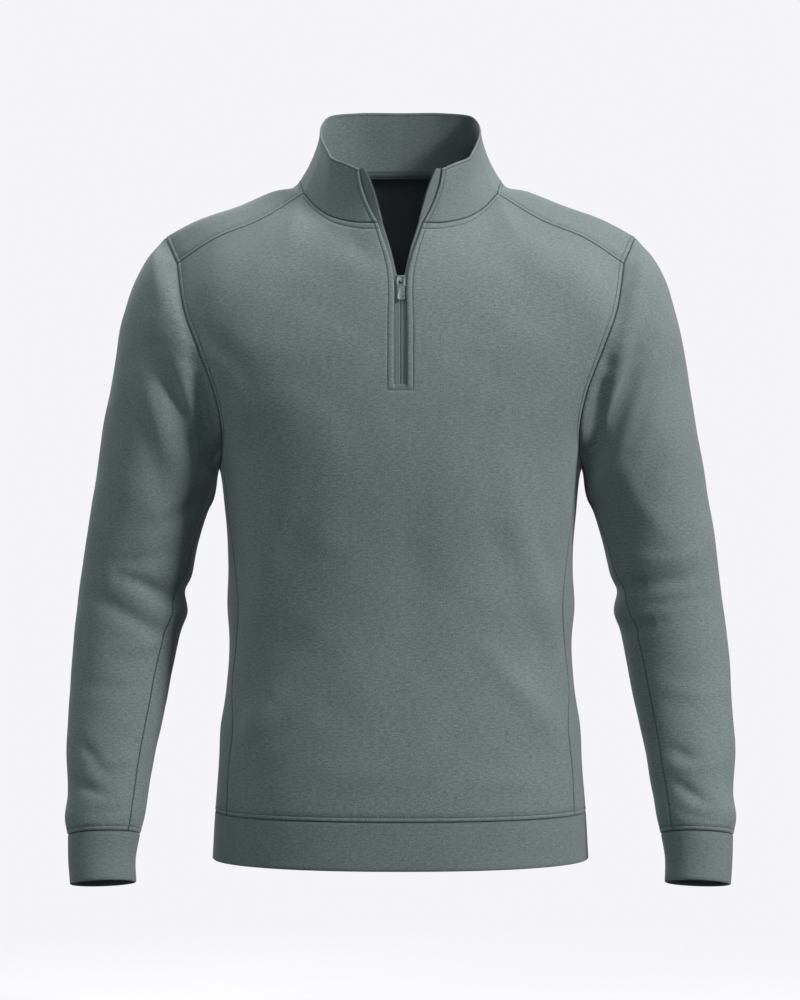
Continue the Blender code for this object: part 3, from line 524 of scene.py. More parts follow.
def armhole_loop(front, side, back):
    """The right armhole's points: down the front, back under the arm, up and over the top."""
    down = front[ROWS_LOWER:, -1][::-1]
    under = side[-1]
    up = back[ROWS_LOWER:, -1]
    return np.concatenate([down[:-1], under[:-1], up[:-1]])


def sleeve_angles(loop):
    """Angle of each armhole point round the sleeve, from the outer side towards the front."""
    top = np.array(ARMHOLE["top"], float)
    under = loop[np.argmin(loop[:, 2])]
    middle = (top + under) / 2
    outwards = (top - under) / 2
    along = (loop - middle) @ outwards / (outwards @ outwards)
    depth = np.abs(loop[:, 1]).max()
    return np.arctan2(-loop[:, 1] / depth, along)


def sleeve_rings(rings, angles):
    """Rings of a sleeve or cuff, each with a point at every angle."""
    sections = []
    for out_x, out_z, in_x, in_z, middle, depth, tilt in zip(*rings.values()):
        outer = np.array([out_x, middle, out_z])
        inner = np.array([in_x, middle, in_z])
        forward = np.array([0.0, -1.0, tilt]) * depth / math.hypot(1, tilt)
        centre = (outer + inner) / 2
        reach = (outer - inner) / 2
        sections.append(centre + np.outer(np.cos(angles), reach) + np.outer(np.sin(angles), forward))
    return sections


def collar_grid():
    """The stand collar, from the right edge of the zip round the back to the left one."""
    seam = neck_seam_half()
    along = lengths_along(seam)
    top = spline(COLLAR_TOP["share"], points_of(COLLAR_TOP), along / along[-1])
    rows = []
    for rise in np.linspace(0, 1, ROWS_COLLAR + 1):
        inwards = 1 - (1 - rise) ** COLLAR_FLARE
        blend = np.array([inwards, inwards, rise])
        rows.append(seam + (top - seam) * blend)
    half = np.array(rows)
    return np.concatenate([half, mirrored(half)[:, 1:]], axis=1)


# ---------------------------------------------------------------- folds and seams

# Cosine above which two pieces that meet are taken to run on smoothly.
RUNS_ON = 0.8

# Points along a fold, how far its fading stops short of its ends, and the cosine from which, and
# over which, a surface counts as facing the side that the fold is seen from.
BEND_POINTS = 33
FOLD_ENDS = (0.08, 0.92)
FACED = {"from": 0.1, "over": 0.5}

def key_of(point):
    """A point rounded so that the same seam point in two pieces gives the same key."""
    return tuple(np.round(point, 4))


def seam_normal(normals):
    """One normal for all the pieces at a point: pieces that run on smoothly count once."""
    directions = []
    for normal in normals:
        for index, other in enumerate(directions):
            if normal @ other > RUNS_ON * np.linalg.norm(other):
                directions[index] = other + normal
                break
        else:
            directions.append(normal)
    total = sum(direction / np.linalg.norm(direction) for direction in directions)
    return total / np.linalg.norm(total)


def bend_line(start, bend, end):
    """Points on the curve from start to end that leans towards the point between them."""
    t = np.linspace(0, 1, BEND_POINTS)[:, None]
    return (1 - t) ** 2 * np.array(start) + 2 * t * (1 - t) * np.array(bend) + t ** 2 * np.array(end)


def fold_height(points, normals, folds, side):
    """Height of all folds at the points; side is -1 on the left of the middle and 1 on the right."""
    height = np.zeros(points.shape[:-1])
    for facing, start, bend, end, breadth, rise in folds:
        inner = facing == "inner"
        direction = np.array((-side, 0, 0) if inner else FACINGS[facing], float)
        flat = points[..., (1, 2)] if inner else points[..., (0, 2)]
        turned = np.clip((normals @ direction - FACED["from"]) / FACED["over"], 0, 1)
        line = bend_line(start, bend, end)
        away = np.linalg.norm(flat[..., None, :] - line, axis=-1)
        nearest = away.argmin(axis=-1) / (len(line) - 1)
        fade = np.sin(np.pi * np.clip(nearest, *FOLD_ENDS)) ** 0.5
        height += rise * np.exp(-(away.min(axis=-1) / breadth) ** 2) * fade * turned
    return height


def folds_of(name):
    """The folds that touch a piece, and the side of the body it is on."""
    if not name.startswith(("sleeve", "cuff")):
        return BODY_FOLDS, 1
    if name.endswith("_left"):
        return LEFT_SLEEVE_FOLDS + INNER_ELBOW_FOLDS, -1
    return RIGHT_SLEEVE_FOLDS + INNER_ELBOW_FOLDS, 1


def edge_step(points, inside, normals, closed):
    """Steps of half the seam gap into a piece, square to its edge and to the shared normals."""
    if closed:
        along = np.roll(points, -1, axis=0) - np.roll(points, 1, axis=0)
    else:
        along = np.gradient(points, axis=0)
    way = unit(np.cross(along, normals))
    facing = np.sign(((inside - points) * way).sum(axis=1, keepdims=True))
    return way * facing * SEAM_GAP / 2


# ---------------------------------------------------------------- cloth at full detail

# Quads of this script's grids to one quad of the solids' grids.
FINER = 6

# Channels of a cloth grid: point, normal, offsets of its outer and inner face, cloth coordinates
# and how deep in a groove it lies, which sets the painted shade there.
POINT, NORMAL, OUT, IN, CLOTH_UV, GROOVE_SHADE = slice(0, 3), slice(3, 6), 6, 7, slice(8, 10), 10
CHANNELS = 11

# A seam's edge rolls down into the gap: distance from the edge, drop and painted shade.
SEAM_ROLL = ((0.0, -1.0, 1.0), (0.45, -0.45, 0.8), (1.1, -0.08, 0.25))

# A folded edge is rounded: distance from the edge, and share of the wall taken off each face.
FREE_ROLL = ((0.0, 0.42), (0.3, 0.2), (0.9, 0.0))

# A stitch line lies in a groove, and the cloth between it and the edge stands up as a ribbon.
# The groove entry is the darkness of the painted shade at the stitch line.
STITCH_LINE = {
    "from_seam": 4.6, "half_width": 0.75, "drop": -0.45, "groove": 0.9,
    "ribbon": 0.15, "ribbon_from": 2.0,
}

# One stitch: its tube, the share of a pitch before the first, the step that gives its direction,
# and how many pitches a line needs to be stitched at all.
STITCH = {"pitch": 3.0, "length": 2.35, "radius": 0.3, "sides": 5, "start": 0.1, "step": 0.5, "fewest": 3}

# Places along a stitch, how far it lifts off the cloth there and its share of the full radius.
STITCH_SHAPE = table(
    "place lift width",
    (0.00, -0.3, 0.6),
    (0.25, 0.28, 1),
    (0.75, 0.28, 1),
    (1.00, -0.3, 0.6),
)

# An edge's own grid is replaced out to this many times the distance of its last line.
REACH_SPARE = 1.2

# Small soft creases, in the same columns as the large folds.
BODY_CREASES = (
    ("front", (-176, -196), (-160, -222), (-150, -262), 9, 1.6),
    ("front", (178, -202), (160, -232), (150, -270), 9, 1.4),
    ("front", (-92, -598), (-40, -612), (20, -604), 11, 0.8),
    ("front", (60, -618), (104, -606), (150, -622), 9, 0.9),
    ("front", (-160, -600), (-120, -588), (-84, -560), 9, 1.0),
    ("front", (-70, -250), (-62, -330), (-82, -400), 16, 0.9),
    ("front", (70, -240), (66, -330), (84, -410), 16, 0.8),
    ("back", (-150, -250), (-110, -300), (-96, -360), 12, 1.6),
    ("back", (150, -258), (116, -300), (100, -366), 12, 1.5),
    ("back", (-110, -600), (-50, -614), (10, -604), 11, 1.0),
    ("back", (40, -560), (80, -590), (130, -612), 10, 1.2),
    ("back", (-60, -60), (0, -74), (60, -58), 12, -1.0),
)
LEFT_SLEEVE_CREASES = (
    ("front", (-208, -196), (-198, -246), (-186, -306), 13, -11.0),
    ("front", (-240, -180), (-222, -244), (-200, -300), 9, -6.0),
    ("front", (-204, -330), (-222, -352), (-246, -360), 9, -3.0),
    ("front", (-232, -120), (-214, -196), (-203, -250), 8, 2.4),
    ("front", (-270, -190), (-262, -250), (-240, -330), 12, -2.2),
    ("front", (-226, -300), (-240, -340), (-262, -372), 9, 1.3),
    ("front", (-240, -388), (-262, -398), (-292, -396), 7, -1.6),
    ("front", (-226, -470), (-250, -482), (-282, -486), 7, 1.4),
    ("front", (-262, -520), (-290, -528), (-318, -520), 8, -1.2),
    ("front", (-262, -590), (-284, -600), (-314, -596), 6, 1.3),
    ("front", (-268, -640), (-292, -650), (-322, -646), 6, -1.2),
    ("back", (-236, -350), (-262, -372), (-296, -376), 8, 1.5),
    ("back", (-250, -470), (-276, -482), (-312, -476), 8, 1.4),
    ("back", (-262, -560), (-290, -572), (-322, -566), 7, -1.2),
    ("back", (-270, -634), (-296, -642), (-322, -640), 6, 1.2),
)
RIGHT_SLEEVE_CREASES = (
    ("front", (208, -200), (199, -248), (188, -306), 12, -10.0),
    ("front", (242, -188), (224, -248), (202, -300), 9, -5.0),
    ("front", (236, -130), (217, -206), (204, -256), 8, 2.2),
    ("front", (274, -200), (262, -262), (244, -330), 12, -2.0),
    ("front", (228, -306), (244, -340), (266, -366), 9, 1.2),
    ("front", (236, -390), (262, -398), (296, -388), 7, 1.3),
    ("front", (240, -442), (270, -440), (304, -430), 7, -1.4),
    ("front", (262, -520), (290, -532), (322, -528), 8, 1.2),
    ("front", (268, -600), (292, -606), (322, -598), 6, 1.2),
    ("front", (272, -642), (296, -652), (322, -654), 6, -1.1),
    ("back", (236, -346), (264, -366), (298, -366), 8, -1.4),
    ("back", (246, -476), (276, -488), (314, -484), 8, 1.4),
    ("back", (262, -556), (292, -566), (324, -560), 7, 1.2),
    ("back", (270, -640), (298, -648), (322, -644), 6, -1.1),
)
CREASE_TABLES = {
    "sleeve_left": LEFT_SLEEVE_CREASES,
    "sleeve_right": RIGHT_SLEEVE_CREASES,
    "front_panel": BODY_CREASES,
    "back_panel": BODY_CREASES,
}

# Soft unevenness of worn cloth: wave direction and length in millimetres, height and phase.
WAVES = table(
    "x y z length height phase",
    (0.9, 0.3, 0.3, 118, 0.45, 0.4),
    (-0.4, 0.5, 0.8, 87, 0.40, 2.1),
    (0.6, -0.5, 0.6, 61, 0.28, 4.4),
    (0.2, 0.9, -0.5, 74, 0.30, 1.2),
    (-0.8, 0.2, 0.5, 43, 0.16, 3.3),
    (0.5, 0.6, 0.7, 34, 0.10, 5.6),
)


class Cloth:
    """One cut piece: a grid of outer points, rows upwards or along, columns turning outwards."""

    def __init__(self, node, grid, slot="body_knit", wall=CLOTH, closed=False):
        self.node = node
        self.grid = np.array(grid, float)
        self.slot = slot
        self.wall = wall
        self.closed = closed
        rows, columns = self.grid.shape[:2]
        self.present = np.ones((rows - 1, columns if closed else columns - 1), bool)
        self.stitch_lines = []
        self.slit = None
        self.runs_on_sideways = closed

    def normals(self):
        """Unit normal at each point, from the neighbouring points on both sides."""
        if self.closed:
            across = np.roll(self.grid, -1, axis=1) - np.roll(self.grid, 1, axis=1)
        else:
            across = np.gradient(self.grid, axis=1)
        if self.slit:
            first, left, right = self.slit
            across[first:, left] = self.grid[first:, left] - self.grid[first:, left - 1]
            across[first:, right] = self.grid[first:, right + 1] - self.grid[first:, right]
        return unit(np.cross(across, np.gradient(self.grid, axis=0)))

    def edge_keys(self):
        """Grid indices of the points on the piece's edges."""
        rows, columns = self.grid.shape[:2]
        keys = [(row, column) for row in (0, rows - 1) for column in range(columns)]
        if not self.closed:
            keys += [(row, column) for column in (0, columns - 1) for row in range(1, rows - 1)]
        return keys

    def fade(self, reach):
        """Weights that fall to nothing over so many quads before each edge."""
        rows, columns = self.grid.shape[:2]
        from_end = np.minimum(np.arange(rows), np.arange(rows)[::-1])
        weight = np.clip(from_end / reach, 0, 1)[:, None]
        if not self.runs_on_sideways:
            from_side = np.minimum(np.arange(columns), np.arange(columns)[::-1])
            weight = weight * np.clip(from_side / reach, 0, 1)[None, :]
        return weight

    def cloth_coordinates(self):
        """Lengths across and along the cloth at each point."""
        across = np.linalg.norm(np.diff(self.grid, axis=1), axis=2)
        along = np.linalg.norm(np.diff(self.grid, axis=0), axis=2)
        u = np.concatenate([np.zeros((len(across), 1)), np.cumsum(across, axis=1)], axis=1)
        v = np.concatenate([np.zeros((1, along.shape[1])), np.cumsum(along, axis=0)], axis=0)
        u -= u[:, u.shape[1] // 2:u.shape[1] // 2 + 1]
        if self.runs_on_sideways and not self.closed:
            v -= v[-1:].copy()
        return np.stack([u, v], axis=2)

    def open_channels(self, shared, own):
        """Fill the channels from the grid, opening the seam gap at the edges."""
        grid = self.grid.copy()
        for edge, inside in ((0, 1), (-1, -2)):
            grid[edge] += edge_step(self.grid[edge], self.grid[inside], shared[edge], self.closed)
            if not self.closed:
                grid[:, edge] += edge_step(self.grid[:, edge], self.grid[:, inside], shared[:, edge], False)
        slant = np.clip((shared * own).sum(axis=2), STEEPEST_SEAM, 1)
        self.data = np.zeros(grid.shape[:2] + (CHANNELS,))
        self.data[..., POINT] = grid
        self.data[..., NORMAL] = shared
        self.data[..., IN] = -self.wall / slant
        self.data[..., CLOTH_UV] = self.cloth_coordinates()

    def add_lines(self, side, lines, at=0, stitch=None):
        """Put lines beside an edge; each is (distance, outer offset, inner offset, painted groove shade).
        """
        data, present = self.data, self.present
        if side in ("top", "bottom"):
            data, present = data.swapaxes(0, 1), present.T
        if side in ("top", "right"):
            data, present = data[:, ::-1], present[:, ::-1]
        data, present, made = with_lines(data, present, at, lines)
        if stitch is not None:
            line = made[stitch]
            points = line[:, POINT] + line[:, NORMAL] * line[:, OUT:OUT + 1]
            sewn = line[:, GROOVE_SHADE] > STITCH_LINE["groove"] / 2
            self.stitch_lines.append((points, line[:, NORMAL], sewn))
        if side in ("top", "right"):
            data, present = data[:, ::-1], present[:, ::-1]
        if side in ("top", "bottom"):
            data, present = data.swapaxes(0, 1), present.T
        self.data, self.present = data, present


def with_lines(data, present, at, lines):
    """Replace the columns beside column `at` by lines at measured distances from it."""
    rows = np.arange(len(data))
    reach = np.broadcast_to(lines[-1][0], rows.shape).max() * REACH_SPARE
    spans = np.linalg.norm(np.diff(data[:, at:, POINT], axis=1), axis=2)
    away = np.concatenate([np.zeros((len(data), 1)), np.cumsum(spans, axis=1)], axis=1)
    stop = int(np.argmax(np.median(away, axis=0) > reach))
    squeeze = np.minimum(1, away[:, stop] / reach)
    made = []
    for distance, out, inn, groove in lines:
        target = distance * squeeze
        left = np.clip((away[:, :stop + 1] <= target[:, None]).sum(axis=1) - 1, 0, stop - 1)
        share = (target - away[rows, left]) / (away[rows, left + 1] - away[rows, left])
        line = data[rows, at + left] * (1 - share[:, None]) + data[rows, at + left + 1] * share[:, None]
        line[:, OUT] += out
        line[:, IN] += inn
        line[:, GROOVE_SHADE] = np.maximum(line[:, GROOVE_SHADE], groove)
        made.append(line)
    split = np.repeat(present[:, at:at + 1], len(made), axis=1)
    data = np.concatenate([data[:, :at], np.stack(made, axis=1), data[:, at + stop:]], axis=1)
    present = np.concatenate([present[:, :at], split, present[:, at + stop:]], axis=1)
    return data, present, made


def stitch_line(centre, ribboned, sewn):
    """Lines of a stitch line at a distance from an edge, and of the ribbon up to it."""
    half = STITCH_LINE["half_width"]
    ribbon = STITCH_LINE["ribbon"] * ribboned
    return [
        (STITCH_LINE["ribbon_from"], ribbon, 0.0, 0.0),
        (centre - half, ribbon, 0.0, 0.0),
        (centre, STITCH_LINE["drop"] * sewn, 0.0, STITCH_LINE["groove"] * sewn),
        (centre + half, 0.0, 0.0, 0.0),
    ]


def seam_lines(stitched=0.0, centre=STITCH_LINE["from_seam"]):
    """Lines for a sewn edge; stitched is 1 where a stitch line and its ribbon run beside it."""
    rolled = [(distance, drop, 0.0, dark) for distance, drop, dark in SEAM_ROLL]
    return rolled + stitch_line(centre, stitched, stitched)


def free_lines(wall, folded=1.0):
    """Lines for an edge that is rounded over the wall's thickness where folded is 1."""
    return [
        (distance, -share * wall * folded, share * wall * folded, 0.0)
        for distance, share in FREE_ROLL
    ]


def placket_lines(wall, offset, above_slit, sewn):
    """Lines for the folded edge of the zip opening and its topstitching."""
    return free_lines(wall, above_slit) + stitch_line(offset, above_slit, sewn)


# Place of the stitch line among the lines of a sewn edge or of the placket.
STITCH_INDEX = 5


def share_normals(cloths):
    """Unit normals of every piece, the same in all the pieces that meet at an edge point."""
    own = [cloth.normals() for cloth in cloths]
    meeting = {}
    for cloth, normals in zip(cloths, own):
        for key in cloth.edge_keys():
            meeting.setdefault(key_of(cloth.grid[key]), []).append(normals[key])
    common = {place: seam_normal(normals) for place, normals in meeting.items()}
    shared = []
    for cloth, normals in zip(cloths, own):
        mixed = normals.copy()
        for key in cloth.edge_keys():
            mixed[key] = common[key_of(cloth.grid[key])]
        shared.append(mixed)
    return shared, own


def waves_at(points):
    """Height of the cloth's soft unevenness at the points."""
    height = np.zeros(points.shape[:-1])
    for x, y, z, length, rise, phase in zip(*WAVES.values()):
        height += rise * np.sin(points @ np.array([x, y, z]) * 2 * math.pi / length + phase)
    return height


# Beside the middle plane the soft unevenness grows over a distance, starting a share of it late.
WAVES_GROW = {"late": 0.25, "over": 40}

# Where the chest's rows meet the lower ones: rows that are eased on each side, and how often.
CALMED = {
    "back_panel": {"reach": 30, "rounds": 90},
    "front_panel": {"reach": 14, "rounds": 20},
}


def crumple(cloths):
    """Raise the large folds, the small creases and the soft unevenness of every piece."""
    for cloth, normals in zip(cloths, share_normals(cloths)[0]):
        folds, side = folds_of(cloth.node)
        height = fold_height(cloth.grid, normals, folds, side) * cloth.fade(2 * FINER)
        creases = CREASE_TABLES.get(cloth.node, ())
        height += fold_height(cloth.grid, normals, creases, side) * cloth.fade(FINER / 2)
        calm = np.clip(np.abs(cloth.grid[..., 0]) / WAVES_GROW["over"] - WAVES_GROW["late"], 0, 1)
        height += waves_at(cloth.grid) * cloth.fade(3 * FINER) * calm
        cloth.grid = cloth.grid + normals * height[..., None]
    by_name = {cloth.node: cloth for cloth in cloths}
    for name, easing in CALMED.items():
        calm_rows(by_name[name], ROWS_LOWER, easing["reach"], easing["rounds"])


def calm_rows(cloth, row, reach, rounds):
    """Ease the rows on both sides of a row into one another, away from the piece's edges."""
    near = np.clip(1.5 - 1.5 * np.abs(np.arange(len(cloth.grid)) - row) / reach, 0, 1)
    weight = (near[:, None] * cloth.fade(2 * FINER))[1:-1, :, None]
    for _ in range(rounds):
        middle = (cloth.grid[2:] + cloth.grid[:-2]) / 2
        cloth.grid[1:-1] += (middle - cloth.grid[1:-1]) * weight


# ---------------------------------------------------------------- the pieces

def hem_rows(seam):
    """The hem band from its free edge up to the hem seam."""
    rows = []
    for share in np.linspace(1, 0, ROWS_BAND + 1):
        grow = 1 + HEM_FLARE * share
        level = HEM_SEAM + (HEM_EDGE - HEM_SEAM) * share
        row = seam * np.array([grow, grow, 0.0])
        row[:, 2] = level
        rows.append(row)
    return np.array(rows)


# Row at which the zip's slit ends, and quads across the strip that joins the halves below it.
SLIT_ROW = ROWS_LOWER + ROWS_CHEST
STRIP_COLUMNS = 4


def front_cloth(half):
    """The front panel: two halves joined by a strip below the zip's slit."""
    left = mirrored(half)
    shares = np.linspace(0, 1, STRIP_COLUMNS + 1)[1:-1, None]
    strip = left[:, -1:] * (1 - shares) + half[:, :1] * shares
    cloth = Cloth("front_panel", np.concatenate([left, strip, half], axis=1))
    inner = left.shape[1] - 1
    cloth.present[SLIT_ROW:, inner:inner + STRIP_COLUMNS] = False
    cloth.slit = (SLIT_ROW, inner, inner + STRIP_COLUMNS)
    return cloth


# Place of the sleeve's seam round the armhole and at the cuff, and the row by which it gets there.
ROWS_DOWN_FRONT = ROWS_YOKE_FRONT + ROWS_CHEST
UNDERARM_SEAM = {
    "at_armhole": ROWS_DOWN_FRONT + 10,
    "at_cuff": ROWS_DOWN_FRONT - 8,
    "turned_by_row": 120,
}


def opened_at_seam(sleeve):
    """A closed sleeve cut open along its underarm seam, which turns forward towards the cuff."""
    count = sleeve.shape[1]
    share = np.clip(np.arange(len(sleeve)) / UNDERARM_SEAM["turned_by_row"], 0, 1)
    share = share * share * (3 - 2 * share)
    at_armhole, at_cuff = UNDERARM_SEAM["at_armhole"], UNDERARM_SEAM["at_cuff"]
    start = at_armhole + (at_cuff - at_armhole) * share
    opened = []
    for ring, first in zip(sleeve, start):
        places = (first + np.arange(count + 1)) % count
        whole = np.floor(places).astype(int)
        part = (places - whole)[:, None]
        opened.append(ring[whole % count] * (1 - part) + ring[(whole + 1) % count] * part)
    return np.array(opened)


def cut_pieces():
    """Every cloth piece of the body, sleeves, bands and collar."""
    half = front_half()
    back = back_half()
    side = side_panel(half[:ROWS_LOWER + 1, -1], back[:ROWS_LOWER + 1, -1])
    front = front_cloth(half)
    back_grid = np.concatenate([back[:, ::-1], (back * OTHER_SIDE)[:, 1:]], axis=1)
    back_grid = eased(back_grid, ROWS_LOWER + 1, EASING_ROUNDS)
    left_side = mirrored(side)
    seam = np.concatenate([front.grid[0, :-1], side[0, :-1], back_grid[0, :-1], left_side[0, :-1]])
    cloths = [
        front,
        Cloth("back_panel", back_grid),
        Cloth("side_panel_right", side),
        Cloth("side_panel_left", left_side),
        Cloth("hem_band", hem_rows(seam), "band_knit", BAND_CLOTH, closed=True),
    ]
    loop = armhole_loop(half, side, back)
    angles = sleeve_angles(loop)
    sections = [loop] + sleeve_rings(SLEEVE, angles)
    sleeve = loft(sections, ((len(sections) - 1, ROWS_SLEEVE),))
    cuff = loft([sleeve[-1]] + sleeve_rings(CUFF, angles), ((len(CUFF["tilt"]), ROWS_BAND),))
    opened = opened_at_seam(sleeve)
    sleeves = [Cloth("sleeve_right", opened), Cloth("sleeve_left", mirrored(opened))]
    for cloth in sleeves:
        cloth.runs_on_sideways = True
    cloths += sleeves + [
        Cloth("cuff_right", cuff, "band_knit", BAND_CLOTH, closed=True),
        Cloth("cuff_left", mirrored(cuff), "band_knit", BAND_CLOTH, closed=True),
        Cloth("collar", collar_grid(), "band_knit", BAND_CLOTH),
    ]
    return cloths


# Distance of the placket's topstitching from the folded edge, at the zip's lower end and from
# the neck upwards.
PLACKET_STITCH = {"low": 5.9, "high": 4.4, "low_level": -120.0, "high_level": -60.0}

# The topstitching's crossing below the slit, and how far past the placket's stitches it reaches.
BOX_BELOW_SLIT = 5.8
BOX_SPARE = 0.1

# Distance of the stitch line from the front's neck seam, the width over which it closes in towards
# the shoulder, and how far it is let run past the zip and stopped short of the shoulder.
NECK_STITCH = 7.2
NECK_CLOSES_OVER = 30
NECK_PAST_ZIP = 0.5
NECK_SHORT_OF_SHOULDER = 1

# Lines of the shallow groove under the collar's folded top edge; the last value is painted shade.
COLLAR_RIM = [(2.1, 0.2, 0.0, 0.0), (2.8, -0.5, 0.0, 0.85), (3.5, 0.0, 0.0, 0.0)]


def sew_across(cloth, *sides):
    """Seams along a piece's upper or lower edge, stitched all the way."""
    for side in sides:
        cloth.add_lines(side, seam_lines(np.ones(cloth.data.shape[1])), stitch=STITCH_INDEX)


def sew_armholes(cloth):
    """Both side edges of the front or back, stitched from the armhole's lower end upwards."""
    armhole = (np.arange(len(cloth.data)) > ROWS_LOWER).astype(float)
    for side in ("left", "right"):
        cloth.add_lines(side, seam_lines(armhole), stitch=STITCH_INDEX)


def join_plainly(cloth, *sides):
    """Seams with no stitching beside them."""
    for side in sides:
        cloth.add_lines(side, seam_lines())


def placket_offset(levels):
    """Distance of the topstitching from the folded edge at each height."""
    low, high = PLACKET_STITCH["low"], PLACKET_STITCH["high"]
    low_level, high_level = PLACKET_STITCH["low_level"], PLACKET_STITCH["high_level"]
    share = np.clip((levels - low_level) / (high_level - low_level), 0, 1)
    return low + (high - low) * share


def finish_front(cloth):
    """Seams, placket and stitch lines of the front panel."""
    right_fold = cloth.grid.shape[1] - 1 - HALF_COLUMNS
    level = cloth.data[:, right_fold, 2]
    box_level = level[SLIT_ROW] - BOX_BELOW_SLIT
    below_box = int(np.nonzero(level < box_level - 2 * STITCH_LINE["half_width"])[0][-1])
    gap = box_level - level[below_box]
    coarse_rows = len(cloth.data)
    shifts = (-gap, -STITCH_LINE["half_width"], 0.0, STITCH_LINE["half_width"])
    cloth.add_lines("bottom", [(gap + shift, 0.0, 0.0, 0.0) for shift in shifts], at=below_box)
    box_row = below_box + 2
    rows = len(cloth.data)
    above = (np.arange(rows) >= SLIT_ROW + rows - coarse_rows).astype(float)
    level = cloth.data[:, right_fold, 2]
    sewn = (np.arange(rows) >= box_row).astype(float)
    offset = placket_offset(level)
    lines = placket_lines(cloth.wall, offset, above, sewn)
    cloth.add_lines("left", lines, at=right_fold, stitch=STITCH_INDEX)
    columns_added = cloth.data.shape[1] - cloth.grid.shape[1]
    cloth.add_lines("right", lines, at=right_fold + columns_added, stitch=STITCH_INDEX)
    box = cloth.data[box_row]
    inside_box = np.abs(box[:, 0]) < np.abs(cloth.stitch_lines[0][0][box_row, 0]) + BOX_SPARE
    # The box's stitch line takes the groove's drop and painted shade.
    box[inside_box, OUT] += STITCH_LINE["drop"] * (box[inside_box, GROOVE_SHADE] == 0)
    box[inside_box, GROOVE_SHADE] = STITCH_LINE["groove"]
    points = box[inside_box, POINT] + box[inside_box, NORMAL] * box[inside_box, OUT:OUT + 1]
    cloth.stitch_lines.append((points, box[inside_box, NORMAL], np.ones(len(points), bool)))
    sew_armholes(cloth)
    x = np.abs(cloth.data[-1, :, 0])
    zip_x, shoulder_x = NECK_FRONT["x"][0], NECK_FRONT["x"][-1]
    on_neck = ((x > zip_x - NECK_PAST_ZIP) & (x < shoulder_x - NECK_SHORT_OF_SHOULDER)).astype(float)
    sloping = np.clip((shoulder_x - x) / NECK_CLOSES_OVER, 0, 1)
    centre = STITCH_LINE["from_seam"] + (NECK_STITCH - STITCH_LINE["from_seam"]) * sloping
    cloth.add_lines("top", seam_lines(on_neck, centre=centre), stitch=STITCH_INDEX)
    sew_across(cloth, "bottom")


def finish_back(cloth):
    """Seams and stitch lines of the back panel."""
    sew_armholes(cloth)
    sew_across(cloth, "top", "bottom")


def finish_side(cloth):
    """Seams and stitch lines of a side panel."""
    join_plainly(cloth, "left", "right")
    sew_across(cloth, "top", "bottom")


def finish_sleeve(cloth):
    """Armhole, underarm and cuff seams of a sleeve, whose first row is at the armhole."""
    join_plainly(cloth, "left", "right", "bottom")
    sew_across(cloth, "top")


def finish_band(cloth, seam_side, free_side):
    """One seam and one folded edge of a band."""
    join_plainly(cloth, seam_side)
    cloth.add_lines(free_side, free_lines(cloth.wall))


def finish_collar(cloth):
    """Neck seam, folded top and the placket's ends of the collar."""
    offset = placket_offset(cloth.data[:, 0, 2])
    lines = placket_lines(cloth.wall, offset, np.ones(len(offset)), np.ones(len(offset)))
    for side in ("left", "right"):
        cloth.add_lines(side, lines, stitch=STITCH_INDEX)
    join_plainly(cloth, "bottom")
    cloth.add_lines("top", free_lines(cloth.wall) + COLLAR_RIM)


# How each piece's edges are finished, by its name without the side.
FINISHES = {
    "front_panel": finish_front,
    "back_panel": finish_back,
    "side_panel": finish_side,
    "sleeve": finish_sleeve,
    "hem_band": lambda cloth: finish_band(cloth, "top", "bottom"),
    "cuff": lambda cloth: finish_band(cloth, "bottom", "top"),
    "collar": finish_collar,
}


def without_side(name):
    """A piece's name without its left or right."""
    return name.removesuffix("_left").removesuffix("_right")


# ---------------------------------------------------------------- meshes

# Painted shade of the collar's inner face, by place from left to right, where 1 is darkest.
COLLAR_INNER_SHADE = ((-70, 0, 35, 70), (0.2, 0.4, 0.6, 0.92))

# Edges that turn by more than this stay sharp.
SHARP_ANGLE = math.radians(65)


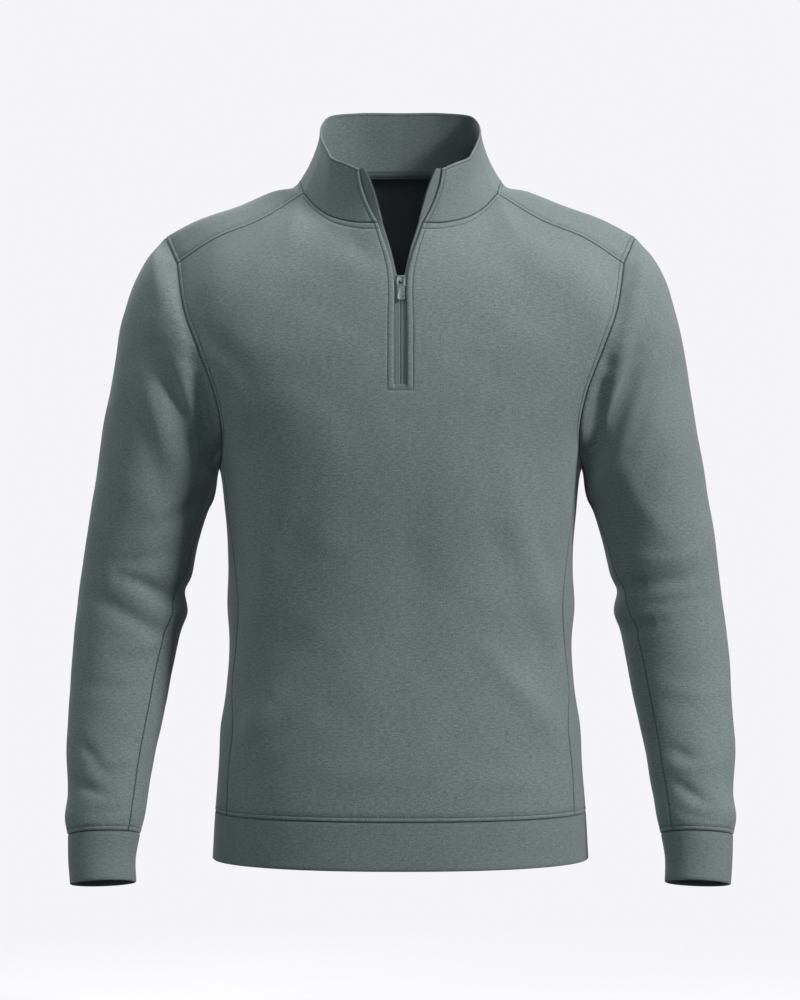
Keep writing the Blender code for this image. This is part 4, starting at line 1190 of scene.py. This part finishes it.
def cloth_object(cloth, material_of_piece):
    """A closed wall of cloth as an object, with its cloth coordinates, grooves and painted shade."""
    data, present = cloth.data, cloth.present
    rows, columns = data.shape[:2]
    outer = data[..., POINT] + data[..., NORMAL] * data[..., OUT:OUT + 1]
    inner = data[..., POINT] + data[..., NORMAL] * data[..., IN:IN + 1]
    row, column = np.nonzero(present)
    after = (column + 1) % columns

    def corners(face_rows, face_columns):
        return face_rows * columns + face_columns

    a, b = corners(row, column), corners(row, after)
    c, d = corners(row + 1, after), corners(row + 1, column)
    under = rows * columns
    faces = [np.stack([a, b, c, d], axis=1), np.stack([d, c, b, a], axis=1) + under]
    around = np.pad(present, ((1, 1), (0, 0) if cloth.closed else (1, 1)))
    shift = 0 if cloth.closed else 1
    edges = (
        (~around[row, column + shift], a, b),
        (~around[row + 2, column + shift], c, d),
    )
    if not cloth.closed:
        edges += (
            (~around[row + 1, column], d, a),
            (~around[row + 1, column + 2], b, c),
        )
    for bare, start, end in edges:
        start, end = start[bare], end[bare]
        faces.append(np.stack([end, start, start + under, end + under], axis=1))
    faces = np.concatenate(faces)
    points = np.concatenate([outer.reshape(-1, 3), inner.reshape(-1, 3)])
    values = np.concatenate([data.reshape(-1, CHANNELS)] * 2)
    u = values[:, CLOTH_UV][faces.ravel()]
    if cloth.closed:
        wraps = (faces % columns).reshape(len(faces), 4)
        wrapped = (wraps.max(axis=1, keepdims=True) == columns - 1) & (wraps == 0)
        first, last = data[0, 0], data[0, -1]
        turn = np.linalg.norm(first[POINT] - last[POINT]) + last[CLOTH_UV][0] - first[CLOTH_UV][0]
        u = u.reshape(len(faces), 4, 2) + np.stack([wrapped * turn, np.zeros_like(wrapped)], axis=2)
    used, faces = np.unique(faces, return_inverse=True)
    mesh = mesh_from(cloth.node + "_cloth", points[used], faces.reshape(-1, 4), u.reshape(-1, 2))
    # Painted shade in the seam and stitch grooves, for the material to darken the colour.
    groove = mesh.attributes.new("groove", "FLOAT", "POINT")
    groove.data.foreach_set("value", values[used, GROOVE_SHADE].astype(np.float32))
    # Painted shade on the inner faces: full on the body panels and sleeves, growing from left to right
    # inside the collar.
    if cloth.slot == "body_knit" or cloth.node == "collar":
        depth = np.ones(len(used))
        if cloth.node == "collar":
            depth = np.interp(points[used, 0], *COLLAR_INNER_SHADE)
        inside = mesh.attributes.new("inside", "FLOAT", "POINT")
        inside.data.foreach_set("value", (depth * (used >= under)).astype(np.float32))
    mesh.set_sharp_from_angle(angle=SHARP_ANGLE)
    return new_object(mesh, material_of_piece)


def mesh_from(name, points, faces, cloth_uv):
    """A smooth mesh from points in millimetres, faces of four corners and cloth coordinates."""
    mesh = bpy.data.meshes.new(name)
    mesh.from_pydata((np.asarray(points) * MM).tolist(), [], faces.tolist())
    mesh.update()
    mesh.shade_smooth()
    layer = mesh.uv_layers.new(name="cloth")
    layer.uv.foreach_set("vector", (cloth_uv * MM).astype(np.float32).ravel())
    return mesh


def new_object(mesh, finish):
    """An object for a mesh, with its material, in the scene."""
    thing = bpy.data.objects.new(mesh.name, mesh)
    bpy.context.scene.collection.objects.link(thing)
    mesh.materials.append(finish)
    return thing


def tubes(centres, normals, tangents, radii, sides):
    """Points and faces of many tubes with closed ends; centres is (tubes, stations, 3)."""
    count, stations = centres.shape[:2]
    across = np.cross(tangents, normals)
    angles = np.arange(sides) * 2 * math.pi / sides
    towards, aside = normals[..., None, :], across[..., None, :]
    ring = np.cos(angles)[:, None] * towards + np.sin(angles)[:, None] * aside
    points = centres[..., None, :] + ring * radii[..., None, None]
    index = np.arange(count * stations * sides).reshape(count, stations, sides)
    turned = np.roll(index, -1, axis=2)
    walls = np.stack([index[:, :-1], index[:, 1:], turned[:, 1:], turned[:, :-1]], axis=-1)
    faces = walls.reshape(-1, 4).tolist()
    faces += index[:, 0].tolist() + index[:, -1, ::-1].tolist()
    return points.reshape(-1, 3), faces


def stitches_on(points, normals):
    """One tube for each stitch along a line."""
    along = lengths_along(points)
    count = max(int(along[-1] / STITCH["pitch"]), 1)
    starts = (np.arange(count) + STITCH["start"]) * along[-1] / count
    places = starts[:, None] + STITCH_SHAPE["place"] * STITCH["length"]
    after = read_along(along, points, places + STITCH["step"])
    before = read_along(along, points, places - STITCH["step"])
    tangent = unit(after - before)
    up = unit(read_along(along, normals, places))
    up = unit(up - (up * tangent).sum(axis=-1, keepdims=True) * tangent)
    centres = read_along(along, points, places) + up * STITCH_SHAPE["lift"][None, :, None]
    radii = np.broadcast_to(STITCH_SHAPE["width"] * STITCH["radius"], places.shape)
    return tubes(centres, up, tangent, radii, STITCH["sides"])


def stitch_object(cloth, finish):
    """All the stitches of a piece as one object."""
    parts = []
    for points, normals, sewn in cloth.stitch_lines:
        for first, last in runs_of(sewn):
            run = slice(first, last)
            if lengths_along(points[run])[-1] >= STITCH["fewest"] * STITCH["pitch"]:
                parts.append(stitches_on(points[run], normals[run]))
    return joined(cloth.node + "_stitches", parts, finish)


def runs_of(flags):
    """First and past-the-last index of each run of true flags."""
    padded = np.concatenate([[0], flags.astype(int), [0]])
    change = np.diff(padded)
    return zip(np.nonzero(change == 1)[0], np.nonzero(change == -1)[0])


# ---------------------------------------------------------------- tapes and zip

# The zip's coil: its winding, its place on the tape, and how short of the tape's ends it stops.
COIL = {
    "pitch": 1.3, "half_width": 1.3, "half_height": 0.65, "wire": 0.3, "stations": 8, "sides": 4,
    "from_edge": 1.15, "behind": 0.8, "from_start": 2, "from_end": 3, "clear_of_slider": 8.0,
}

# Quads by which the neck tape stops short of each shoulder, and how far its stitches lie from its
# middle line.
NECK_TAPE_SHORT = FINER * NECK_TAPE["columns_short"]
NECK_TAPE_STITCH = 3.6

# Lines across a tape's width, and the half gap from which, and over which, the tapes turn in.
TAPE_LINES = 9
TAPE_TURNS_IN = {"from": 1, "over": 6}


def fold_line(front, collar, side):
    """The folded edge of the zip opening on one side, with its normals, from the slit's end up."""
    column = front.grid.shape[1] - 1 - HALF_COLUMNS if side > 0 else HALF_COLUMNS
    collar_column = 0 if side > 0 else -1
    line = np.concatenate([front.grid[SLIT_ROW:, column], collar.grid[1:, collar_column]])
    normals = np.concatenate([front.shared[SLIT_ROW:, column], collar.shared[1:, collar_column]])
    below = line[0] + (line[0] - line[1]) / np.linalg.norm(line[1] - line[0]) * TAPE_END
    return np.concatenate([[below], line]), np.concatenate([normals[:1], normals])


def zip_tape(fold, normals, name, side):
    """A zip tape under the folded edge, and the run of zip coil along its inner edge."""
    half_gap = opening_at("tape", fold[:, 2])
    turn_in = np.clip((half_gap - TAPE_TURNS_IN["from"]) / TAPE_TURNS_IN["over"], 0, 1)
    kept = np.ones(len(fold))
    normals = unit(normals * np.stack([turn_in, kept, kept], axis=1))
    along = unit(np.gradient(fold, axis=0))
    across = unit(np.cross(normals, along))
    across *= -np.sign(across[:, :1] * side)
    visible = (np.abs(fold[:, 0]) - half_gap) / np.abs(across[:, 0])
    grid = []
    for share in np.linspace(0, 1, TAPE_LINES):
        reach = -TAPE_UNDER + (visible + TAPE_UNDER) * share
        grid.append(fold + across * reach[:, None] - normals * TAPE_DEPTH)
    grid = np.stack(grid, axis=1)
    if side > 0:
        grid = grid[:, ::-1]
    tape = Cloth(name, grid, "woven_tape", TAPE)
    edge = fold + across * (visible - COIL["from_edge"])[:, None]
    tape.coil = (edge - normals * (TAPE_DEPTH + TAPE + COIL["behind"]), across, normals)
    return tape


def coil_runs(coil, phase):
    """Points and faces of the coil on one tape, from its middle line and its ways aside and up."""
    along = lengths_along(coil[0])
    step = COIL["pitch"] / COIL["stations"]
    places = np.arange(COIL["from_start"], along[-1] - COIL["from_end"], step)
    middle, side, up = (read_along(along, values, places) for values in coil)
    turn = (places / COIL["pitch"] + phase) * 2 * math.pi
    aside = side * (COIL["half_width"] * np.cos(turn))[:, None]
    radial = aside + up * (COIL["half_height"] * np.sin(turn))[:, None]
    points = middle + radial
    tangent = unit(np.gradient(points, axis=0))
    radial = unit(radial - (radial * tangent).sum(axis=1, keepdims=True) * tangent)
    seen = np.abs(middle[:, 2] - SLIDER_LEVEL) > COIL["clear_of_slider"]
    made = []
    for first, last in runs_of(seen):
        run = slice(first, last)
        radii = np.full((1, last - first), COIL["wire"])
        lines = (line[None, run] for line in (points, radial, tangent))
        made.append(tubes(*lines, radii, COIL["sides"]))
    return made


def joined(name, parts, finish):
    """One smooth object from several lots of points and faces."""
    all_points = []
    all_faces = []
    start = 0
    for points, faces in parts:
        all_points.append(points)
        all_faces += [[corner + start for corner in face] for face in faces]
        start += len(points)
    mesh = bpy.data.meshes.new(name)
    mesh.from_pydata((np.concatenate(all_points) * MM).tolist(), [], all_faces)
    mesh.update()
    mesh.shade_smooth()
    return new_object(mesh, finish)


def neck_tape(collar, back):
    """Tape inside the back of the neck, half on the collar and half on the back panel."""
    reach = COLUMNS["neck_back"] - NECK_TAPE_SHORT
    middle_collar = collar.grid.shape[1] // 2
    middle_back = back.grid.shape[1] // 2
    collar_part = slice(middle_collar - reach, middle_collar + reach + 1)
    back_part = slice(middle_back - reach, middle_back + reach + 1)
    seam = collar.grid[0, collar_part]
    normal = collar.shared[0, collar_part]
    up = collar.grid[FINER, collar_part] - seam
    down = back.grid[-1 - FINER, back_part] - seam
    half = NECK_TAPE["height"] / 2
    inwards = BAND_CLOTH + NECK_TAPE["clearance"]

    def row(height, depth):
        way = unit(up if height > 0 else down)
        return seam + way * abs(height) - normal * depth

    heights = np.linspace(-half, half, TAPE_LINES)
    tape = Cloth("neck_tape", [row(height, inwards) for height in heights], "woven_tape", TAPE)
    sewn = np.ones(len(seam), bool)
    for height in (-NECK_TAPE_STITCH, NECK_TAPE_STITCH):
        tape.stitch_lines.append((row(height, inwards + TAPE), -normal, sewn))
    return tape


# ---------------------------------------------------------------- materials

class Graph:
    """A material's node tree, built by chaining sockets."""

    def __init__(self, name, **values):
        self.material = bpy.data.materials.new(name)
        self.material.use_nodes = True
        self.tree = self.material.node_tree
        self.shader = self.tree.nodes["Principled BSDF"]
        for socket, value in values.items():
            self.shader.inputs[socket.replace("_", " ").title()].default_value = value

    def node(self, kind, *inputs, **settings):
        """A node with its settings; inputs are sockets or values in order, None to skip one."""
        made = self.tree.nodes.new("ShaderNode" + kind)
        for name, value in settings.items():
            setattr(made, name, value)
        for target, given in zip(made.inputs, inputs):
            if isinstance(given, bpy.types.NodeSocket):
                self.tree.links.new(given, target)
            elif given is not None:
                target.default_value = given
        return made

    def math(self, operation, first, second=None):
        """The result of a Math node."""
        return self.node("Math", first, second, operation=operation).outputs[0]

    def noise(self, vector, scale, detail=2.0, roughness=0.5):
        """A noise texture's factor."""
        return self.node("TexNoise", vector, None, scale, detail, roughness).outputs[0]

    def ramp(self, factor, *stops):
        """Colour by factor, through stops of (place, colour)."""
        made = self.node("ValToRGB", factor)
        elements = made.color_ramp.elements
        while len(elements) < len(stops):
            elements.new(0.5)
        for element, (place, colour) in zip(elements, stops):
            element.position = place
            element.color = (*colour, 1)
        return made.outputs[0]

    def spread(self, value, low, high, to_low, to_high):
        """A value's range mapped to another."""
        return self.node("MapRange", value, low, high, to_low, to_high).outputs[0]

    def stretched(self, u, v, across, along):
        """Cloth coordinates scaled apart, as a vector."""
        wide = self.math("MULTIPLY", u, across)
        return self.node("CombineXYZ", wide, self.math("MULTIPLY", v, along)).outputs[0]

    def cloth_place(self):
        """Lengths across and along the cloth, in metres."""
        place = self.node("UVMap", uv_map="cloth").outputs[0]
        u, v, _ = self.node("SeparateXYZ", place).outputs
        return u, v

    def weighed(self, *pairs):
        """Sum of some values, each times its share."""
        total, *others = (self.math("MULTIPLY", value, share) for value, share in pairs)
        for other in others:
            total = self.math("ADD", total, other)
        return total

    def finish(self, colour, roughness, height, strength, distance):
        """Link the results to the shader and return the material."""
        bump = self.node("Bump", strength, distance)
        self.tree.links.new(height, bump.inputs["Height"])
        results = {"Base Color": colour, "Roughness": roughness, "Normal": bump.outputs[0]}
        for socket, given in results.items():
            self.tree.links.new(given, self.shader.inputs[socket])
        return self.material


def toned(colour, share):
    """A colour made lighter or darker."""
    return tuple(channel * share for channel in colour)


# Width and height of one V stitch, in metres, and the shares of the colour that are left, as
# painted shade, in the deepest groove and on a fully shaded inner face.
WALE = 0.0013
COURSE = 0.0010
SHADE_IN_GROOVE = 0.42
SHADE_INSIDE = 0.22


def knit_finish(name, colour, fleck=1.0):
    """Fine heathered jersey: V stitches in columns, flecks of lighter and darker yarn, soft nap;
    painted shade in its grooves and on inner faces.
    """
    graph = Graph(name, sheen_weight=0.25, sheen_roughness=0.45)
    u, v = graph.cloth_place()
    column = graph.math("SINE", graph.math("MULTIPLY", u, 2 * math.pi / WALE))
    lean = graph.math("MULTIPLY", graph.math("ABSOLUTE", column), 1.4)
    rise = graph.math("MULTIPLY", v, 2 * math.pi / COURSE)
    loop = graph.math("SINE", graph.math("ADD", rise, lean))
    yarn = graph.noise(graph.stretched(u, v, 900, 900), 1.0, 3.0, 0.6)
    broad = graph.noise(graph.stretched(u, v, 190, 560), 1.0, 2.0, 0.6)
    cloud = graph.noise(graph.stretched(u, v, 40, 40), 1.0, 3.0, 0.5)
    mixed = graph.weighed((yarn, 0.62), (broad, 0.38), (graph.math("SUBTRACT", cloud, 0.5), 0.05))
    tones = graph.ramp(
        mixed,
        (0.39, toned(colour, 1 - 0.34 * fleck)),
        (0.5, colour),
        (0.61, toned(colour, 1 + 0.40 * fleck)),
    )
    # Painted shade in grooves, down to SHADE_IN_GROOVE of the colour.
    groove = graph.node("Attribute", attribute_name="groove").outputs["Fac"]
    # Painted shade on inner faces, down to SHADE_INSIDE of the colour.
    inside = graph.node("Attribute", attribute_name="inside").outputs["Fac"]
    in_groove = graph.spread(groove, 0.0, 1.0, 1.0, SHADE_IN_GROOVE)
    shade = graph.math("MULTIPLY", in_groove, graph.spread(inside, 0.0, 1.0, 1.0, SHADE_INSIDE))
    shade_grey = graph.node("CombineColor", shade, shade, shade).outputs[0]
    shaded_tones = graph.node("Mix", data_type="RGBA", blend_type="MULTIPLY")
    shaded_tones.inputs["Factor"].default_value = 1.0
    graph.tree.links.new(tones, shaded_tones.inputs["A"])
    graph.tree.links.new(shade_grey, shaded_tones.inputs["B"])
    height = graph.weighed((column, 0.06), (loop, 0.08), (yarn, 1.6))
    roughness = graph.spread(broad, 0.3, 0.7, 0.8, 0.95)
    return graph.finish(shaded_tones.outputs["Result"], roughness, height, 0.5, 0.0005)


def tape_finish(name, colour):
    """Narrow woven tape with a herringbone twill."""
    graph = Graph(name, sheen_weight=0.15, sheen_roughness=0.5)
    u, v = graph.cloth_place()
    bent = graph.math("PINGPONG", u, 0.0016)
    twill = graph.math("SINE", graph.math("MULTIPLY", graph.math("ADD", bent, v), 2 * math.pi / 0.0009))
    fuzz = graph.noise(graph.stretched(u, v, 1400, 1400), 1.0, 2.0)
    mixed = graph.math("ADD", graph.math("MULTIPLY", twill, 0.12), fuzz)
    woven_stripe = graph.spread(graph.math("PINGPONG", u, 0.0015), 0.0001, 0.00045, -0.3, 0.0)
    mixed = graph.math("ADD", mixed, woven_stripe)
    tones = graph.ramp(mixed, (0.3, toned(colour, 0.72)), (0.7, toned(colour, 1.25)))
    return graph.finish(tones, graph.spread(fuzz, 0.3, 0.7, 0.7, 0.9), mixed, 0.5, 0.0003)


def thread_finish(name, colour):
    """Twisted sewing thread, a little smoother than the cloth."""
    graph = Graph(name, sheen_weight=0.1)
    place = graph.node("TexCoord").outputs["Object"]
    twist = graph.noise(place, 2600.0, 2.0)
    tones = graph.ramp(twist, (0.35, toned(colour, 0.75)), (0.65, toned(colour, 1.3)))
    return graph.finish(tones, graph.spread(twist, 0.3, 0.7, 0.55, 0.75), twist, 0.4, 0.0001)


def metal_finish(name, colour):
    """Satin gunmetal with fine brushing."""
    graph = Graph(name, metallic=0.9)
    place = graph.node("TexCoord").outputs["Object"]
    brushed = graph.node("Mapping", place)
    brushed.inputs["Scale"].default_value = (9000, 3000, 900)
    brush = graph.noise(brushed.outputs[0], 1.0, 3.0)
    cloud = graph.noise(place, 500.0, 2.0)
    mixed = graph.weighed((brush, 0.6), (cloud, 0.4))
    tones = graph.ramp(mixed, (0.35, toned(colour, 0.8)), (0.65, toned(colour, 1.2)))
    return graph.finish(tones, graph.spread(mixed, 0.3, 0.7, 0.3, 0.48), brush, 0.25, 0.00005)


# Colour of each finish, before its flecks and grooves.
COLOURS = {
    "body_knit": (0.112, 0.140, 0.141),
    "band_knit": (0.103, 0.129, 0.131),
    "woven_tape": (0.092, 0.115, 0.117),
    "neck_tape": (0.040, 0.052, 0.055),
    "thread": (0.045, 0.060, 0.062),
    "zip_metal": (0.17, 0.18, 0.18),
}


# ---------------------------------------------------------------- putting it together


# Radius of the cast edges of the zip's metal and distance at which points are one, in metres, the
# quads across a rounded edge, and the angle from which an edge is rounded.
ROUNDING = {"zip_slider": 0.00035, "zip_pull": 0.00045}
WELD_DISTANCE = 0.000002
ROUNDING_QUADS = 3
ROUNDED_ANGLE = math.radians(50)


def cloths_and_trims():
    """Every cloth piece, and the neck tape and zip tapes fitted to them, with finished edges."""
    cloths = cut_pieces()
    crumple(cloths)
    for cloth, shared, own in zip(cloths, *share_normals(cloths)):
        cloth.shared = shared
        cloth.open_channels(shared, own)
    by_name = {cloth.node: cloth for cloth in cloths}
    front, back, collar = (by_name[name] for name in ("front_panel", "back_panel", "collar"))
    trims = [neck_tape(collar, back)]
    for name, side in (("zip_tape_right", 1), ("zip_tape_left", -1)):
        trims.append(zip_tape(*fold_line(front, collar, side), name, side))
    for trim in trims:
        shared, own = share_normals([trim])
        trim.open_channels(shared[0], own[0])
        for side in ("left", "right"):
            trim.add_lines(side, free_lines(trim.wall))
    for cloth in cloths:
        FINISHES[without_side(cloth.node)](cloth)
    return cloths, trims


def round_metal(finish):
    """Cast edges and the metal finish for the zip's own solids."""
    for node, radius in ROUNDING.items():
        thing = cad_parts[node]
        weld = thing.modifiers.new("weld", "WELD")
        weld.merge_threshold = WELD_DISTANCE
        rounded = thing.modifiers.new("rounded", "BEVEL")
        rounded.width = radius
        rounded.segments = ROUNDING_QUADS
        rounded.limit_method = "ANGLE"
        rounded.angle_limit = ROUNDED_ANGLE
        thing.data.shade_smooth()
        thing.data.materials.clear()
        thing.data.materials.append(finish)


def dress():
    """Make every piece, named after the solid whose place it takes."""
    finishes = {
        "body_knit": knit_finish("body_knit_cloth", COLOURS["body_knit"]),
        "band_knit": knit_finish("band_knit_cloth", COLOURS["band_knit"], fleck=0.85),
        "woven_tape": tape_finish("woven_tape_cloth", COLOURS["woven_tape"]),
        "neck_tape": tape_finish("neck_tape_cloth", COLOURS["neck_tape"]),
        "thread": thread_finish("sewing_thread", COLOURS["thread"]),
        "zip_metal": metal_finish("zip_metal_satin", COLOURS["zip_metal"]),
    }
    cloths, trims = cloths_and_trims()
    _, right_tape, left_tape = trims
    windings = coil_runs(right_tape.coil, 0.0) + coil_runs(left_tape.coil, 0.5)
    coil = joined("zip_coil", windings, finishes["woven_tape"])
    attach(coil, "garment")
    pieces = {}
    for cloth in cloths + trims:
        finish = finishes["neck_tape" if cloth.node == "neck_tape" else cloth.slot]
        pieces[cloth.node] = piece = cloth_object(cloth, finish)
        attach(piece, "garment")
        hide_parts(cloth.node)
    for cloth in cloths + trims:
        piece = pieces[cloth.node]
        if cloth.stitch_lines:
            stitches = stitch_object(cloth, finishes["thread"])
            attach(stitches, "garment")
    round_metal(finishes["zip_metal"])


def area_light(name, place, facing_level, size, power, colour):
    """A soft square light that faces the middle of the garment at a level."""
    light = bpy.data.lights.new(name, "AREA")
    light.size = size
    light.energy = power
    light.color = colour
    thing = bpy.data.objects.new(name, light)
    bpy.context.scene.collection.objects.link(thing)
    thing.location = place
    way = Vector((0, 0, facing_level)) - Vector(place)
    thing.rotation_euler = way.to_track_quat("-Z", "Y").to_euler()


WARM = (1.0, 0.98, 0.975)
COOL = (0.9, 1.0, 1.0)
WHITE = (1, 1, 1)

# The lights: name, place, level that each faces, size, power and colour.
LIGHTS = (
    ("key", (3.15, -1.8, 1.5), -0.3, 0.8, 214, WARM),
    ("fill", (-1.3, -2.9, 2.2), -0.3, 1.2, 44, COOL),
    ("front", (0.5, -3.8, 0.2), -0.4, 1.0, 22, COOL),
    ("left", (-3.0, -0.6, 0.5), -0.35, 1.2, 20, COOL),
    ("top", (0.2, 0.2, 2.2), -0.2, 1.4, 42, WHITE),
    ("behind", (-1.2, 2.8, 1.2), -0.3, 2.0, 48, WHITE),
)

# Colour of the ground as the camera sees it, and of the light that comes from all round.
BACKGROUND = (0.913, 0.905, 0.947)
AMBIENT = (0.024, 0.034, 0.036)

# Height, radius and corners of the floor, in metres.
FLOOR_LEVEL = -0.95
FLOOR_RADIUS = 1.3
FLOOR_CORNERS = 96

# Shares of the floor's radius between which it fades away.
FLOOR_FADES = (0.55, 0.98)

# The camera's place, width of its sensor in millimetres, and height of what it sees at the garment.
CAMERA_AT = (-0.0005, -3.2, -0.3337)
SENSOR = 36
VIEW_HEIGHT = 1.03


def studio():
    """Pale ground and floor, soft lights and the camera."""
    world = bpy.data.worlds.new("studio")
    bpy.context.scene.world = world
    world.use_nodes = True
    nodes, links = world.node_tree.nodes, world.node_tree.links
    ground = nodes["Background"]
    ground.inputs["Color"].default_value = (*BACKGROUND, 1)
    ambient = nodes.new("ShaderNodeBackground")
    ambient.inputs["Color"].default_value = (*AMBIENT, 1)
    seen = nodes.new("ShaderNodeLightPath")
    mix = nodes.new("ShaderNodeMixShader")
    links.new(seen.outputs["Is Camera Ray"], mix.inputs[0])
    links.new(ambient.outputs[0], mix.inputs[1])
    links.new(ground.outputs[0], mix.inputs[2])
    links.new(mix.outputs[0], nodes["World Output"].inputs["Surface"])

    mesh = bpy.data.meshes.new("floor")
    turns = [2 * math.pi * corner / FLOOR_CORNERS for corner in range(FLOOR_CORNERS)]
    ring = [(FLOOR_RADIUS * math.cos(turn), FLOOR_RADIUS * math.sin(turn), FLOOR_LEVEL) for turn in turns]
    mesh.from_pydata(ring, [], [list(range(FLOOR_CORNERS))])
    floor_look = Graph("floor", roughness=0.9, base_color=(0.5, 0.49, 0.52, 1),
                       emission_color=(*BACKGROUND, 1), emission_strength=0.35)
    place = floor_look.node("TexCoord").outputs["Object"]
    away = floor_look.node("VectorMath", place, operation="LENGTH").outputs["Value"]
    fading = [math.hypot(FLOOR_RADIUS * share, FLOOR_LEVEL) for share in FLOOR_FADES]
    solid = floor_look.spread(away, *fading, 1.0, 0.0)
    floor_look.tree.links.new(solid, floor_look.shader.inputs["Alpha"])
    floor = new_object(mesh, floor_look.material)
    floor.visible_diffuse = False

    for light in LIGHTS:
        area_light(*light)

    lens = bpy.data.cameras.new("camera")
    lens.sensor_width = SENSOR
    lens.lens = SENSOR * -CAMERA_AT[1] / VIEW_HEIGHT
    lens.clip_end = 50
    camera = bpy.data.objects.new("camera", lens)
    camera.location = CAMERA_AT
    camera.rotation_euler = (math.radians(90), 0, 0)
    bpy.context.scene.collection.objects.link(camera)
    bpy.context.scene.camera = camera
    bpy.context.scene.view_settings.view_transform = "Standard"


dress()
studio()
